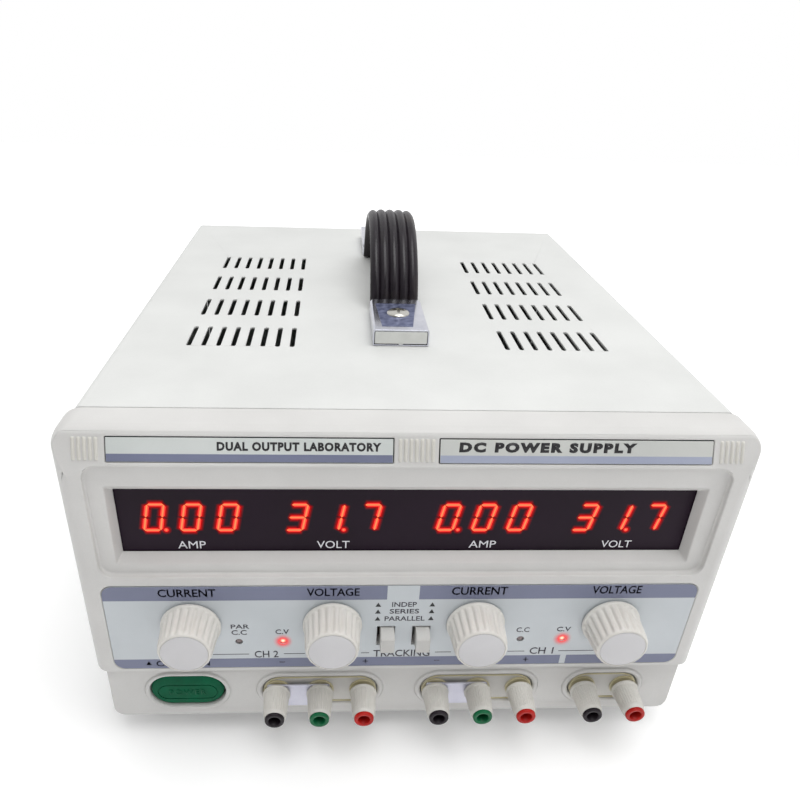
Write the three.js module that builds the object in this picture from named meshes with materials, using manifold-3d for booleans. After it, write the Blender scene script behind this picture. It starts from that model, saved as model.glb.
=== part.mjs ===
// Dual-output bench power supply: folded sheet-metal case, moulded front bezel,
// carrying strap, controls, binding posts and the main pieces inside.
//
// Units are millimetres. +Z is up, -Y is the front, +X is to the right of someone
// who faces the front. The origin is on the table, under the middle of the object.

import * as THREE from 'three';
import { mergeVertices } from 'three/addons/utils/BufferGeometryUtils.js';
import Module from 'manifold-3d';

const wasm = await Module();
wasm.setup();

// ---------------------------------------------------------------- driving sizes

const GAP = 0.3; // between two pieces that touch
const SHEET = 1.2; // thickness of the case's steel

// Case: cover, tray and rear panel
const CASE_HALF_WIDTH = 127.1;
const CASE_TOP = 163.6;
const CASE_BOTTOM = 14;
const CASE_FRONT = -143.9;
const CASE_BACK = 118;
const COVER_BEND_RADIUS = 2.5;
const TRAY_FLANGE_HEIGHT = 12;
const TRAY_UPSTAND_HEIGHT = 34;

// Ventilation slots in the cover's top and sides
const TOP_SLOTS = { perRow: 8, rows: 4, pitch: 6.6, rowPitch: 36.8, width: 2.2, length: 22 };
const TOP_SLOT_INNER_X = 49.4;
const TOP_SLOT_FIRST_Y = -77; // middle of the front row
const SIDE_SLOTS = { perRow: 9, pitch: 8, width: 2.4, length: 26, z: 80, firstY: -20 };

// Bezel
const FRONT = -165; // plane of the control panel
const BEZEL_HALF_WIDTH = 132.5;
const BEZEL_BACK = -144.2;
const BEZEL_BASE = 20; // the outline's lower end, cut off by the side view
const BEZEL_CORNER = 9;
const BEZEL_EDGE = { width: 8.5, depth: 14 }; // rounding of the front edge
const BEZEL_PANEL_BOTTOM = 46.5;
const BEZEL_SIDE_BOTTOM = 40;
const LEAN_BOTTOM_Z = 147; // the name strip's face leans back from here
const LEAN_TOP = { y: FRONT + 5.2, z: 161.4 };
const BROW = { y: FRONT + 7.4, z: 163 }; // between the leaning face and the flat top
const BROW_BACK = FRONT + 12.4;
const CHIN_HALF_WIDTH = 126.7;
const CHIN_FRONT = FRONT + 3;
const CHIN_CORNER = 5;
const CHIN_OVERLAP = 10; // how far the chin runs up behind the panel
const BEZEL_WALL = 3;
const PANEL_BACK = CHIN_FRONT + BEZEL_WALL; // back face of the wall behind the controls
const DISPLAY_WALL_BACK = FRONT + 10.5;
const HOLLOW_HALF_WIDTH = { display: 126, controls: 123.5 };
const HOLLOW_DIVIDE = 97; // height between the two hollows behind the bezel's face

// Display
const DISPLAY_RECESS = { halfWidth: 120.3, bottom: 98.8, top: 150.3, depth: 2.5, corner: 5 };
const DISPLAY_BEVEL = { halfWidth: 114.3, bottom: 103, top: 140.3 };
const DISPLAY_OPENING = { halfWidth: 112.5, bottom: 105.9, top: 135.8 };
const WINDOW_FRONT = FRONT + 7.7;
const WINDOW_THICKNESS = 1.5;
const WINDOW_MARGIN = 2.6; // the window's edge behind the opening
const DIGIT_BLOCK_X = [-84.5, -29, 30, 85];
const DIGIT_BLOCK = { width: 42, bottom: 111.5, top: 131.5, depth: 5.2 };
const DISPLAY_BOARD = { halfWidth: 110, bottom: 104, top: 139 };

// Name strips
const STRIP = { innerX: 8.5, outerX: 111.2, bottom: 151.9, top: 160.4, thickness: 0.5 };
const RIB = { pitch: 2, width: 1.4, height: 0.6, bottom: 152.3, top: 160.7 };
const RIB_GROUPS = [
  { firstX: -122.4, count: 5 },
  { firstX: -6, count: 7 },
  { firstX: 114.4, count: 5 },
];

// Control panel
const LABEL = { halfWidth: 121.1, bottom: 48, top: 94, corner: 4.5, thickness: 0.5 };
const LABEL_RECESS_DEPTH = LABEL.thickness + GAP;
const KNOB_X = [-87.4, -29.8, 29.8, 87.4];
const KNOB_NAMES = ['current_left', 'voltage_left', 'current_right', 'voltage_right'];
const KNOB_Z = 73.5;
const KNOB_BACK = FRONT - 0.6;
const KNOB_FACE = -180;
const KNOB_FLANGE = { radius: 12.2, thickness: 1.6 };
const KNOB_SKIRT = { backRadius: 11.7, frontRadius: 10.7, step: 0.2 };
const KNOB_EDGE = { depth: 1.6, radius: 9.6 }; // chamfer round the face
const KNOB_FLUTES = 16;
const KNOB_FLUTE_SCALE = 0.93; // a flute's radius as a share of the skirt's
const SHAFT_RADIUS = 3;
const BUSH_RADIUS = 3.7;
const BUSH_BORE = SHAFT_RADIUS + GAP;
const SHAFT_END = -152.6;
const POT_RADIUS = 8;
const SHAFT_HOLE = BUSH_RADIUS + 1; // in the label
const LED_X = [-68.6, -50.4, 50.4, 68.6];
const LED_NAMES = ['cc_left', 'cv_left', 'cc_right', 'cv_right'];
const LED_Z = 63.3;
const LED_RADIUS = 1.5;
const LED_TIP = FRONT + 0.2;
const LED_DOME = { radius: 1, height: 1.2, shoulder: 0.3 };
const TRACK_X = 7.4;
const TRACK_HOLE = { halfWidth: 3.8, bottom: 60.5, top: 71.5 };
const TRACK_BUTTON = { left: 2, right: 3.4, ends: 0.5, face: FRONT - 5.2, tail: -156.2 };
const TRACK_BUTTON_SLOPE = { depth: 2, drop: 1, start: 7.9, chamfer: 0.8 };
const TRACK_SWITCH = { halfWidth: 13, front: -152.6, bottom: 58, top: 74 };
const CONTROL_BOARD_FRONT = -147.6;
const CONTROL_BOARD = { halfWidth: 118, bottom: 52, top: 92 };
const BOARD_THICKNESS = 1.6;

// Binding posts, in three oblong windows, and the power button's window
const POST_PITCH = 19.05;
const POST_Z = 30;
const POST_GROUPS = [
  { centre: -34.9, colours: ['black', 'green', 'red'] },
  { centre: 35.5, colours: ['black', 'green', 'red'] },
  { centre: 93.5, colours: ['black', 'red'] },
];
const WINDOW_END = 9.1; // rim's end beyond the last post's centre
const WINDOW_HALF_HEIGHT = 11.15;
const RIM_WIDTH = 2.6;
const RIM_FRONT = CHIN_FRONT - 1;
const TERMINAL_BOARD = { left: -70, right: 120, bottom: 17.6, top: 44, thickness: 3 };
const TERMINAL_BOARD_FRONT = PANEL_BACK + GAP;
const PAD = { front: -162.2, clearance: 0.4 };
const COLLAR = { front: RIM_FRONT, radius: 6 }; // raised ring round each stud
const LINK = { thickness: 0.8, bottom: 21.6, top: 34.8, overlap: 4.2 };
const LINK_BACK = COLLAR.front - GAP;
const CAP_BACK = LINK_BACK - LINK.thickness - GAP;
const CAP_TIP = -178.1;
const CAP_SIDES = 16;
const CAP_FLANGE = { radius: 6, thickness: 1.3 };
const CAP_GRIP = { backRadius: 5.7, frontRadius: 4.9, tipRadius: 4.3, nose: 2.2, step: 0.4 };
const STUD_RADIUS = 2.8;
const STUD_TIP = -169;
const STUD_END = -149.5;
const SOCKET_RADIUS = 2.05;
const SOCKET_DEPTH = 9;
const NUT = { radius: 4.8, thickness: 3 };

const POWER = { x: -93.1, halfLength: 18.6, halfHeight: 11.7, rim: 2 };
const POWER_BUTTON = { x: -93.3, halfLength: 16, halfHeight: 9.1, face: -161.8, tail: -153 };
const POWER_SWITCH = { halfWidth: 11, halfHeight: 8, front: -152.6, back: -126 };

// Handle: strap, end caps and screws
const HANDLE_Y = 4; // middle of the handle
const STRAP_OUTER_RADIUS = 50;
const STRAP_APEX = 203.4;
const STRAP_BASE = 3;
const STRAP_RIB_HEIGHT = 1.6;
const STRAP_HALF_WIDTH = 12.3;
const STRAP_RIBS = 5;
const STRAP_FOOT_Z = 164.9;
const STRAP_RIB_SHARE = 0.6; // a rib's width as a share of the pitch
const STRAP_TAIL = { halfWidth: 11.3, thickness: 4.2, start: 45, end: 76 };
const HANDLE_CAP = { inner: 49.4, outer: 90, halfWidth: 12.8, height: 7.8, corner: 1.2 };
const SCREW_OFFSET = 69.6; // screw's centre from the handle's middle
const SCREW = { headRadius: 5.6, headHeight: 1.6, shankRadius: 2, end: 155 };

// Rear
const HEATSINK = { innerX: 42, outerX: 122, bottom: 26, top: 140, base: 6, fins: 12, fin: 2 };
const REAR_LIMIT = 180;
const FAN = { z: 112, size: 60, depth: 25, bore: 28, hub: 11, strut: 3 };
const FAN_BACK = CASE_BACK - SHEET - GAP;
const ROTOR = { hub: 11, tip: 27, front: 96, back: 109, blades: 7, pitchDegrees: 40 };
const SPINDLE = { radius: 1.5, bore: 1.8, boreDepth: 9 };
const GUARD = { rings: [28.5, 22, 15.5], wire: 1.6, thickness: 1.8, reach: 36, hub: 8 };
const INLET = { halfWidth: 23, bottom: 29, top: 61, flange: 3, flangeThickness: 2.5, front: 94 };
const SOCKET = { halfWidth: 12, bottom: 41.5, top: 57.5, chamfer: 4, depth: 16 };
const PINS = { places: [[0, 51.5], [-7, 46.5], [7, 46.5]], halfWidth: 1, halfHeight: 2, sunk: 5.5 };
const DRAWER = { halfWidth: 11.5, bottom: 31.6, top: 37.6, inner: 101, lip: 2 };

// Feet
const FOOT = { x: 108, frontY: -122, backY: 98, baseRadius: 9, topRadius: 10.5 };

// Inside
const FLOOR_TOP = CASE_BOTTOM + SHEET + GAP;
const CORE = { x: [20, 114], y: [-40, 12], height: 80 };
const WINDING = { x: [36, 98], y: [-62, 34], corner: 8, bottom: 14, top: 66 };
const MAIN_BOARD = { x: [-118, -8], y: [-112, 62], lift: 8 };
const STANDOFF = { x: [-112, -14], y: [-106, 56], radius: 3 };
const CAPACITOR = { x: [-92, -52], y: [-80, -42], radius: 15, height: 45 };
const RELAY = { x: [-100, -72], y: [0, 24], depth: 15, height: 16 };

// --------------------------------------------------------------------- finishes

function finish(color, roughness, metalness = 0) {
  return { color, roughness, metalness };
}

const PAINTED_STEEL = finish('#dedfdc', 0.55, 0.1);
const BEZEL_PLASTIC = finish('#d9d8d2', 0.5);
const PANEL_PRINT = finish('#bcc8cf', 0.45);
const DARK_WINDOW = finish('#2a2330', 0.15);
const STRIP_PRINT = finish('#c3ccc9', 0.4);
const ZINC_STEEL = finish('#a9adb0', 0.45, 0.9);
const FOOT_RUBBER = finish('#1d1d1f', 0.9);
const STRAP_RUBBER = finish('#2e2a2c', 0.5);
const CHROME = finish('#d5d8e2', 0.12, 1);
const GREEN_BUTTON = finish('#0d6a45', 0.4);
const CREAM_PLASTIC = finish('#dcdad2', 0.5);
const BLACK_PLASTIC = finish('#1e1e20', 0.5);
const LED_LIT = finish('#ff3a2c', 0.3);
const LED_DARK = finish('#7a6666', 0.3);
const BOARD_GREEN = finish('#2c5a3c', 0.6);
const TERMINAL_PLASTIC = finish('#cfcab4', 0.5);
const NICKEL = finish('#c7c6c0', 0.25, 1);
const CORE_STEEL = finish('#4d4a48', 0.6, 0.7);
const ALUMINIUM = finish('#26272a', 0.5, 0.8);

// ---------------------------------------------------------------- solid helpers

/** Signed volume of an indexed triangle mesh. */
function signedVolume(positions, triangles) {
  const [a, b, c] = [new THREE.Vector3(), new THREE.Vector3(), new THREE.Vector3()];
  let total = 0;
  for (let i = 0; i < triangles.length; i += 3) {
    a.fromArray(positions, 3 * triangles[i]);
    b.fromArray(positions, 3 * triangles[i + 1]);
    c.fromArray(positions, 3 * triangles[i + 2]);
    total += a.dot(b.cross(c)) / 6;
  }
  return total;
}

/** Turns a closed three.js geometry into a solid whose faces point out. */
function solid(geometry) {
  const bare = geometry.clone();
  bare.deleteAttribute('normal');
  bare.deleteAttribute('uv');
  const merged = mergeVertices(bare, 1e-4);
  const positions = new Float32Array(merged.attributes.position.array);
  const triangles = [];
  for (let i = 0; i < merged.index.count; i += 3) {
    const [a, b, c] = [0, 1, 2].map((k) => merged.index.getX(i + k));
    if (a !== b && b !== c && c !== a) triangles.push(a, b, c);
  }
  if (signedVolume(positions, triangles) < 0) triangles.reverse();
  const mesh = new wasm.Mesh({
    numProp: 3,
    vertProperties: positions,
    triVerts: new Uint32Array(triangles),
  });
  return new wasm.Manifold(mesh);
}

/** Turns a solid back into a geometry. */
function surface(manifold) {
  const mesh = manifold.getMesh();
  const geometry = new THREE.BufferGeometry();
  geometry.setAttribute('position', new THREE.BufferAttribute(mesh.vertProperties, 3));
  geometry.setIndex(new THREE.BufferAttribute(mesh.triVerts, 1));
  geometry.computeVertexNormals();
  return geometry;
}

function union(solids) {
  return solids.reduce((all, next) => all.add(next));
}

function without(body, cutters) {
  return cutters.reduce((rest, cutter) => rest.subtract(cutter), body);
}

/** A box between two x, two y and two z limits. */
function block([x0, x1], [y0, y1], [z0, z1]) {
  const box = new THREE.BoxGeometry(x1 - x0, y1 - y0, z1 - z0);
  return solid(box.translate((x0 + x1) / 2, (y0 + y1) / 2, (z0 + z1) / 2));
}

/** An outline in x and z, extruded from y0 back to y1. */
function alongY(shape, y0, y1, options = {}) {
  const settings = { depth: y1 - y0, bevelEnabled: false, curveSegments: 3, ...options };
  const geometry = new THREE.ExtrudeGeometry(shape, settings);
  return solid(geometry.rotateX(Math.PI / 2).translate(0, y1, 0));
}

/** An outline in y and z, extruded from x0 to x1. */
function alongX(shape, x0, x1) {
  const settings = { depth: x1 - x0, bevelEnabled: false, curveSegments: 4 };
  const geometry = new THREE.ExtrudeGeometry(shape, settings);
  const turn = new THREE.Matrix4().makeBasis(
    new THREE.Vector3(0, 1, 0),
    new THREE.Vector3(0, 0, 1),
    new THREE.Vector3(1, 0, 0),
  );
  return solid(geometry.applyMatrix4(turn).translate(x0, 0, 0));
}

/** An outline in x and y, extruded from z0 up to z1. */
function alongZ(shape, z0, z1, curveSegments = 4) {
  const settings = { depth: z1 - z0, bevelEnabled: false, curveSegments };
  return solid(new THREE.ExtrudeGeometry(shape, settings).translate(0, 0, z0));
}

/** A round bar along Y, centred on x and z. */
function barY(x, z, radius, y0, y1, sides = 12) {
  const bar = new THREE.CylinderGeometry(radius, radius, y1 - y0, sides);
  return solid(bar.translate(x, (y0 + y1) / 2, z));
}

/** A round bar along Z, centred on x and y. */
function barZ(x, y, radius, z0, z1, sides = 12) {
  const bar = new THREE.CylinderGeometry(radius, radius, z1 - z0, sides);
  return solid(bar.rotateX(Math.PI / 2).translate(x, y, (z0 + z1) / 2));
}

/** A [radius, y] profile turned about a line along Y through x and z. */
function turned(profile, x, z, segments = 24) {
  const points = profile.map(([radius, y]) => new THREE.Vector2(radius, y));
  return solid(new THREE.LatheGeometry(points, segments).translate(x, 0, z));
}

function polygon(points) {
  return new THREE.Shape(points.map(([a, b]) => new THREE.Vector2(a, b)));
}

function roundedRectangle(left, right, bottom, top, radius, lowerRadius = radius) {
  const shape = new THREE.Shape();
  const quarter = Math.PI / 2;
  shape.absarc(right - lowerRadius, bottom + lowerRadius, lowerRadius, -quarter, 0);
  shape.absarc(right - radius, top - radius, radius, 0, quarter);
  shape.absarc(left + radius, top - radius, radius, quarter, 2 * quarter);
  shape.absarc(left + lowerRadius, bottom + lowerRadius, lowerRadius, -2 * quarter, -quarter);
  shape.closePath();
  return shape;
}

/** An oblong with fully round ends. */
function oblong(x, z, halfLength, halfHeight) {
  return roundedRectangle(
    x - halfLength, x + halfLength, z - halfHeight, z + halfHeight, halfHeight,
  );
}

/** A slot with pointed ends, as a cutter, running along the second axis. */
function slotOutline(a, b, width, length) {
  const half = width / 2;
  const end = length / 2;
  return polygon([
    [a, b - end], [a + half, b - end + half], [a + half, b + end - half],
    [a, b + end], [a - half, b + end - half], [a - half, b - end + half],
  ]);
}

const group = new THREE.Group();
group.name = 'bench_power_supply';

function place(name, body, look) {
  const mesh = new THREE.Mesh(surface(body), new THREE.MeshStandardMaterial(look));
  mesh.name = name;
  group.add(mesh);
}

// -------------------------------------------------------------------- enclosure

/** Folded cover: top and two sides in one sheet, with ventilation slots. */
function makeCover() {
  const [half, top] = [CASE_HALF_WIDTH, CASE_TOP];
  const outer = roundedRectangle(-half, half, CASE_BOTTOM, top, COVER_BEND_RADIUS, 0.01);
  let cover = alongY(outer, CASE_FRONT, CASE_BACK);
  const inside = [-half + SHEET, half - SHEET];
  cover = cover.subtract(block(inside, [CASE_FRONT - 1, CASE_BACK + 1], [0, top - SHEET]));
  const slots = [];
  for (const side of [-1, 1]) {
    for (let row = 0; row < TOP_SLOTS.rows; row += 1) {
      for (let i = 0; i < TOP_SLOTS.perRow; i += 1) {
        const x = side * (TOP_SLOT_INNER_X + i * TOP_SLOTS.pitch);
        const y = TOP_SLOT_FIRST_Y + row * TOP_SLOTS.rowPitch;
        const outline = slotOutline(x, y, TOP_SLOTS.width, TOP_SLOTS.length);
        slots.push(alongZ(outline, top - 2 * SHEET, top + 1));
      }
    }
    for (let i = 0; i < SIDE_SLOTS.perRow; i += 1) {
      const y = SIDE_SLOTS.firstY + i * SIDE_SLOTS.pitch;
      const outline = slotOutline(y, SIDE_SLOTS.z, SIDE_SLOTS.width, SIDE_SLOTS.length);
      const x = side * (half - SHEET / 2);
      slots.push(alongX(outline, x - SHEET, x + SHEET));
    }
  }
  for (const side of [-1, 1]) {
    const y = HANDLE_Y + side * SCREW_OFFSET;
    slots.push(barZ(0, y, SCREW.shankRadius + GAP, top - 2 * SHEET, top + 1, 8));
  }
  return without(cover, slots);
}

/** Tray: floor with two low side flanges and a front upstand. */
function makeTray() {
  const half = CASE_HALF_WIDTH - SHEET - GAP;
  const [front, back] = [CASE_FRONT + GAP, CASE_BACK - SHEET - GAP];
  const [bottom, floor] = [CASE_BOTTOM, CASE_BOTTOM + SHEET];
  const flangeTop = bottom + TRAY_FLANGE_HEIGHT;
  const plates = [
    block([-half, half], [front, back], [bottom, floor]),
    block([-half, -half + SHEET], [front, back], [bottom, flangeTop]),
    block([half - SHEET, half], [front, back], [bottom, flangeTop]),
    block([-half, half], [front, front + SHEET], [bottom, bottom + TRAY_UPSTAND_HEIGHT]),
  ];
  const [wide, tall] = [POWER_SWITCH.halfWidth + 1, POWER_SWITCH.halfHeight + 1];
  const switchHole = block(
    [POWER.x - wide, POWER.x + wide], [front - 1, front + SHEET + 1],
    [POST_Z - tall, POST_Z + tall],
  );
  return union(plates).subtract(switchHole);
}

function makeRearPanel() {
  const half = CASE_HALF_WIDTH - SHEET - GAP;
  const y = [CASE_BACK - SHEET, CASE_BACK];
  const panel = block([-half, half], y, [CASE_BOTTOM + 0.5, CASE_TOP - SHEET - GAP]);
  const hole = [y[0] - 1, y[1] + 1];
  const inlet = INLET.halfWidth + GAP;
  return without(panel, [
    barY(0, FAN.z, FAN.bore, ...hole, 20),
    block([-inlet, inlet], hole, [INLET.bottom - GAP, INLET.top + GAP]),
  ]);
}

/** Side view of the upper bezel: upright panel, leaning name strip, rounded top. */
function bezelProfile() {
  return polygon([
    [FRONT, BEZEL_PANEL_BOTTOM],
    [BEZEL_BACK, BEZEL_SIDE_BOTTOM],
    [BEZEL_BACK, CASE_TOP],
    [BROW_BACK, CASE_TOP],
    [BROW.y, BROW.z],
    [LEAN_TOP.y, LEAN_TOP.z],
    [FRONT, LEAN_BOTTOM_Z],
  ]);
}

/** y of the leaning face at height z. */
function leanY(z) {
  const share = (z - LEAN_BOTTOM_Z) / (LEAN_TOP.z - LEAN_BOTTOM_Z);
  return FRONT + share * (LEAN_TOP.y - FRONT);
}

/** A bar that follows the leaning face, from `proud` in front of it to `deep` behind. */
function onLean(x0, x1, bottom, top, proud, deep) {
  const outline = polygon([
    [leanY(bottom) - proud, bottom],
    [leanY(bottom) + deep, bottom],
    [leanY(top) + deep, top],
    [leanY(top) - proud, top],
  ]);
  return alongX(outline, x0, x1);
}

/** Four-sided funnel between a wide opening at yWide and a narrow one at yNarrow. */
function funnel(wide, narrow, yWide, yNarrow) {
  const geometry = new THREE.BoxGeometry(2, 2, 2);
  const position = geometry.attributes.position;
  for (let i = 0; i < position.count; i += 1) {
    const end = position.getY(i) < 0 ? wide : narrow;
    const y = position.getY(i) < 0 ? yWide : yNarrow;
    const z = position.getZ(i) < 0 ? end.bottom : end.top;
    position.setXYZ(i, Math.sign(position.getX(i)) * end.halfWidth, y, z);
  }
  return solid(geometry);
}

function postPositions(postGroup) {
  const count = postGroup.colours.length;
  return postGroup.colours.map((colour, i) => ({
    colour,
    x: postGroup.centre + (i - (count - 1) / 2) * POST_PITCH,
  }));
}

/** Half the length of the rim round a group of posts. */
function windowHalfLength(postGroup) {
  return ((postGroup.colours.length - 1) / 2) * POST_PITCH + WINDOW_END;
}

/** Middle, half length, half height and rim width of each window in the chin. */
function chinWindows() {
  return [
    POWER,
    ...POST_GROUPS.map((postGroup) => ({
      x: postGroup.centre,
      halfLength: windowHalfLength(postGroup),
      halfHeight: WINDOW_HALF_HEIGHT,
      rim: RIM_WIDTH,
    })),
  ];
}

/** Everything of the bezel that is there before its openings are cut. */
function makeBezelBlank() {
  const width = BEZEL_HALF_WIDTH;
  const outline = roundedRectangle(-width, width, BEZEL_BASE, CASE_TOP, BEZEL_CORNER);
  const upper = alongY(outline, FRONT + BEZEL_EDGE.depth, BEZEL_BACK, {
    curveSegments: 4,
    bevelEnabled: true,
    bevelThickness: BEZEL_EDGE.depth,
    bevelSize: BEZEL_EDGE.width,
    bevelOffset: -BEZEL_EDGE.width,
    bevelSegments: 3,
  }).intersect(alongX(bezelProfile(), -width - 1, width + 1));
  const chin = CHIN_HALF_WIDTH;
  const chinTop = BEZEL_PANEL_BOTTOM + CHIN_OVERLAP;
  const chinOutline = roundedRectangle(-chin, chin, CASE_BOTTOM, chinTop, 0.5, CHIN_CORNER);
  const raised = [upper, alongY(chinOutline, CHIN_FRONT, BEZEL_BACK)];
  for (const { x, halfLength, halfHeight } of chinWindows()) {
    raised.push(alongY(oblong(x, POST_Z, halfLength, halfHeight), RIM_FRONT, CHIN_FRONT + 1));
  }
  for (const { firstX, count } of RIB_GROUPS) {
    for (let i = 0; i < count; i += 1) {
      const x = firstX + i * RIB.pitch;
      const half = RIB.width / 2;
      raised.push(onLean(x - half, x + half, RIB.bottom, RIB.top, RIB.height, 1));
    }
  }
  return union(raised);
}

function makeBezel() {
  const back = BEZEL_BACK + 1;
  const displayTop = CASE_TOP - BEZEL_WALL;
  const recess = DISPLAY_RECESS;
  const recessFloor = FRONT + recess.depth;
  const opening = DISPLAY_OPENING;
  const margin = WINDOW_MARGIN + GAP;
  const [upperHalf, lowerHalf] = [HOLLOW_HALF_WIDTH.display, HOLLOW_HALF_WIDTH.controls];
  const cuts = [
    block([-upperHalf, upperHalf], [DISPLAY_WALL_BACK, back], [HOLLOW_DIVIDE, displayTop]),
    block([-lowerHalf, lowerHalf], [PANEL_BACK, back],
      [CASE_BOTTOM + BEZEL_WALL, HOLLOW_DIVIDE + 0.5]),
    alongY(roundedRectangle(-recess.halfWidth, recess.halfWidth, recess.bottom, recess.top,
      recess.corner), FRONT - 4, recessFloor),
    funnel(DISPLAY_BEVEL, opening, recessFloor - 0.01, WINDOW_FRONT + 0.01),
    block(
      [-opening.halfWidth - margin, opening.halfWidth + margin],
      [WINDOW_FRONT, DISPLAY_WALL_BACK + 1],
      [opening.bottom - margin, opening.top + margin],
    ),
    alongY(labelOutline(GAP), FRONT - 1, FRONT + LABEL_RECESS_DEPTH),
  ];
  for (const { x, halfLength, halfHeight, rim } of chinWindows()) {
    const inner = oblong(x, POST_Z, halfLength - rim, halfHeight - rim);
    cuts.push(alongY(inner, RIM_FRONT - 1, PANEL_BACK + 1));
  }
  for (const side of [-1, 1]) {
    const [inner, outer] = [STRIP.innerX - GAP, STRIP.outerX + GAP];
    const x = side < 0 ? [-outer, -inner] : [inner, outer];
    cuts.push(onLean(...x, STRIP.bottom - GAP, STRIP.top + GAP, 2, STRIP.thickness + GAP));
  }
  return without(makeBezelBlank(), [...cuts, ...panelHoles(BUSH_RADIUS + GAP)]);
}

/** Holes for the control shafts, lamps and tracking buttons, through the panel's wall. */
function panelHoles(shaftHole) {
  const y = [FRONT - 1, PANEL_BACK + 1];
  const track = TRACK_HOLE;
  return [
    ...KNOB_X.map((x) => barY(x, KNOB_Z, shaftHole, ...y)),
    ...LED_X.map((x) => barY(x, LED_Z, LED_RADIUS + GAP, ...y, 10)),
    ...[-TRACK_X, TRACK_X].map((x) => block(
      [x - track.halfWidth, x + track.halfWidth], y, [track.bottom, track.top],
    )),
  ];
}

function labelOutline(grow) {
  const half = LABEL.halfWidth + grow;
  return roundedRectangle(-half, half, LABEL.bottom - grow, LABEL.top + grow, LABEL.corner);
}

place('cover', makeCover(), PAINTED_STEEL);
place('chassis_tray', makeTray(), ZINC_STEEL);
place('rear_panel', makeRearPanel(), PAINTED_STEEL);
place('bezel', makeBezel(), BEZEL_PLASTIC);

for (const [end, y] of [['front', FOOT.frontY], ['rear', FOOT.backY]]) {
  for (const [side, x] of [['left', -FOOT.x], ['right', FOOT.x]]) {
    const height = CASE_BOTTOM - GAP;
    const foot = new THREE.CylinderGeometry(FOOT.topRadius, FOOT.baseRadius, height, 16);
    const body = solid(foot.rotateX(Math.PI / 2).translate(x, y, height / 2));
    place(`foot_${end}_${side}`, body, FOOT_RUBBER);
  }
}

// ------------------------------------------------- display, name strips, label

place(
  'control_label',
  without(alongY(labelOutline(0), FRONT, FRONT + LABEL.thickness), panelHoles(SHAFT_HOLE)),
  PANEL_PRINT,
);

const windowHalf = DISPLAY_OPENING.halfWidth + WINDOW_MARGIN;
const windowHeight = [
  DISPLAY_OPENING.bottom - WINDOW_MARGIN, DISPLAY_OPENING.top + WINDOW_MARGIN,
];
const windowFront = WINDOW_FRONT + GAP;
const windowBack = windowFront + WINDOW_THICKNESS;
place(
  'display_window',
  block([-windowHalf, windowHalf], [windowFront, windowBack], windowHeight),
  DARK_WINDOW,
);

/** Circuit board behind the window with its four blocks of digits. */
function makeDisplayBoard() {
  const digits = [windowBack + GAP, windowBack + GAP + DIGIT_BLOCK.depth];
  const half = DISPLAY_BOARD.halfWidth;
  const boardZ = [DISPLAY_BOARD.bottom, DISPLAY_BOARD.top];
  const board = block([-half, half], [digits[1], digits[1] + BOARD_THICKNESS], boardZ);
  const blocks = DIGIT_BLOCK_X.map((x) => block(
    [x - DIGIT_BLOCK.width / 2, x + DIGIT_BLOCK.width / 2],
    [digits[0], digits[1] + 0.5],
    [DIGIT_BLOCK.bottom, DIGIT_BLOCK.top],
  ));
  return union([board, ...blocks]);
}

place('display_board', makeDisplayBoard(), BOARD_GREEN);
for (const [side, x] of [
  ['left', [-STRIP.outerX, -STRIP.innerX]],
  ['right', [STRIP.innerX, STRIP.outerX]],
]) {
  const strip = onLean(...x, STRIP.bottom, STRIP.top, 0, STRIP.thickness);
  place(`name_strip_${side}`, strip, STRIP_PRINT);
}

// --------------------------------------------------------------------- controls

/** Fluted, slightly tapered knob with its shaft; the flutes are alternate segments. */
function makeKnob(x) {
  const skirtBack = KNOB_BACK - KNOB_FLANGE.thickness;
  const skirtFront = KNOB_FACE + KNOB_EDGE.depth;
  const profile = [
    [0, SHAFT_END],
    [SHAFT_RADIUS, SHAFT_END],
    [SHAFT_RADIUS, KNOB_BACK],
    [KNOB_FLANGE.radius, KNOB_BACK],
    [KNOB_FLANGE.radius, skirtBack],
    [KNOB_SKIRT.backRadius, skirtBack - KNOB_SKIRT.step],
    [KNOB_SKIRT.frontRadius, skirtFront],
    [KNOB_EDGE.radius, KNOB_FACE],
    [0, KNOB_FACE],
  ];
  const points = profile.map(([radius, y]) => new THREE.Vector2(radius, y));
  const geometry = new THREE.LatheGeometry(points, 2 * KNOB_FLUTES);
  const position = geometry.attributes.position;
  const isSkirt = (y) => y < skirtBack - 0.1 && y > KNOB_FACE + 0.1;
  for (let i = 0; i < position.count; i += 1) {
    const segment = Math.floor(i / profile.length);
    if (segment % 2 === 1 && isSkirt(position.getY(i))) {
      position.setX(i, position.getX(i) * KNOB_FLUTE_SCALE);
      position.setZ(i, position.getZ(i) * KNOB_FLUTE_SCALE);
    }
  }
  return solid(geometry.translate(x, 0, KNOB_Z));
}

/** Board behind the control panel with the four potentiometers on it. */
function makeControlBoard() {
  const y = [CONTROL_BOARD_FRONT, CONTROL_BOARD_FRONT + BOARD_THICKNESS];
  const half = CONTROL_BOARD.halfWidth;
  const pieces = [block([-half, half], y, [CONTROL_BOARD.bottom, CONTROL_BOARD.top])];
  for (const x of KNOB_X) {
    pieces.push(barY(x, KNOB_Z, POT_RADIUS, PANEL_BACK + GAP, y[0] + 0.5));
    pieces.push(barY(x, KNOB_Z, BUSH_RADIUS, FRONT + 1, PANEL_BACK + 1));
  }
  const bores = KNOB_X.map((x) => barY(x, KNOB_Z, BUSH_BORE, FRONT - 1, SHAFT_END + 1));
  return without(union(pieces), bores);
}

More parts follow.
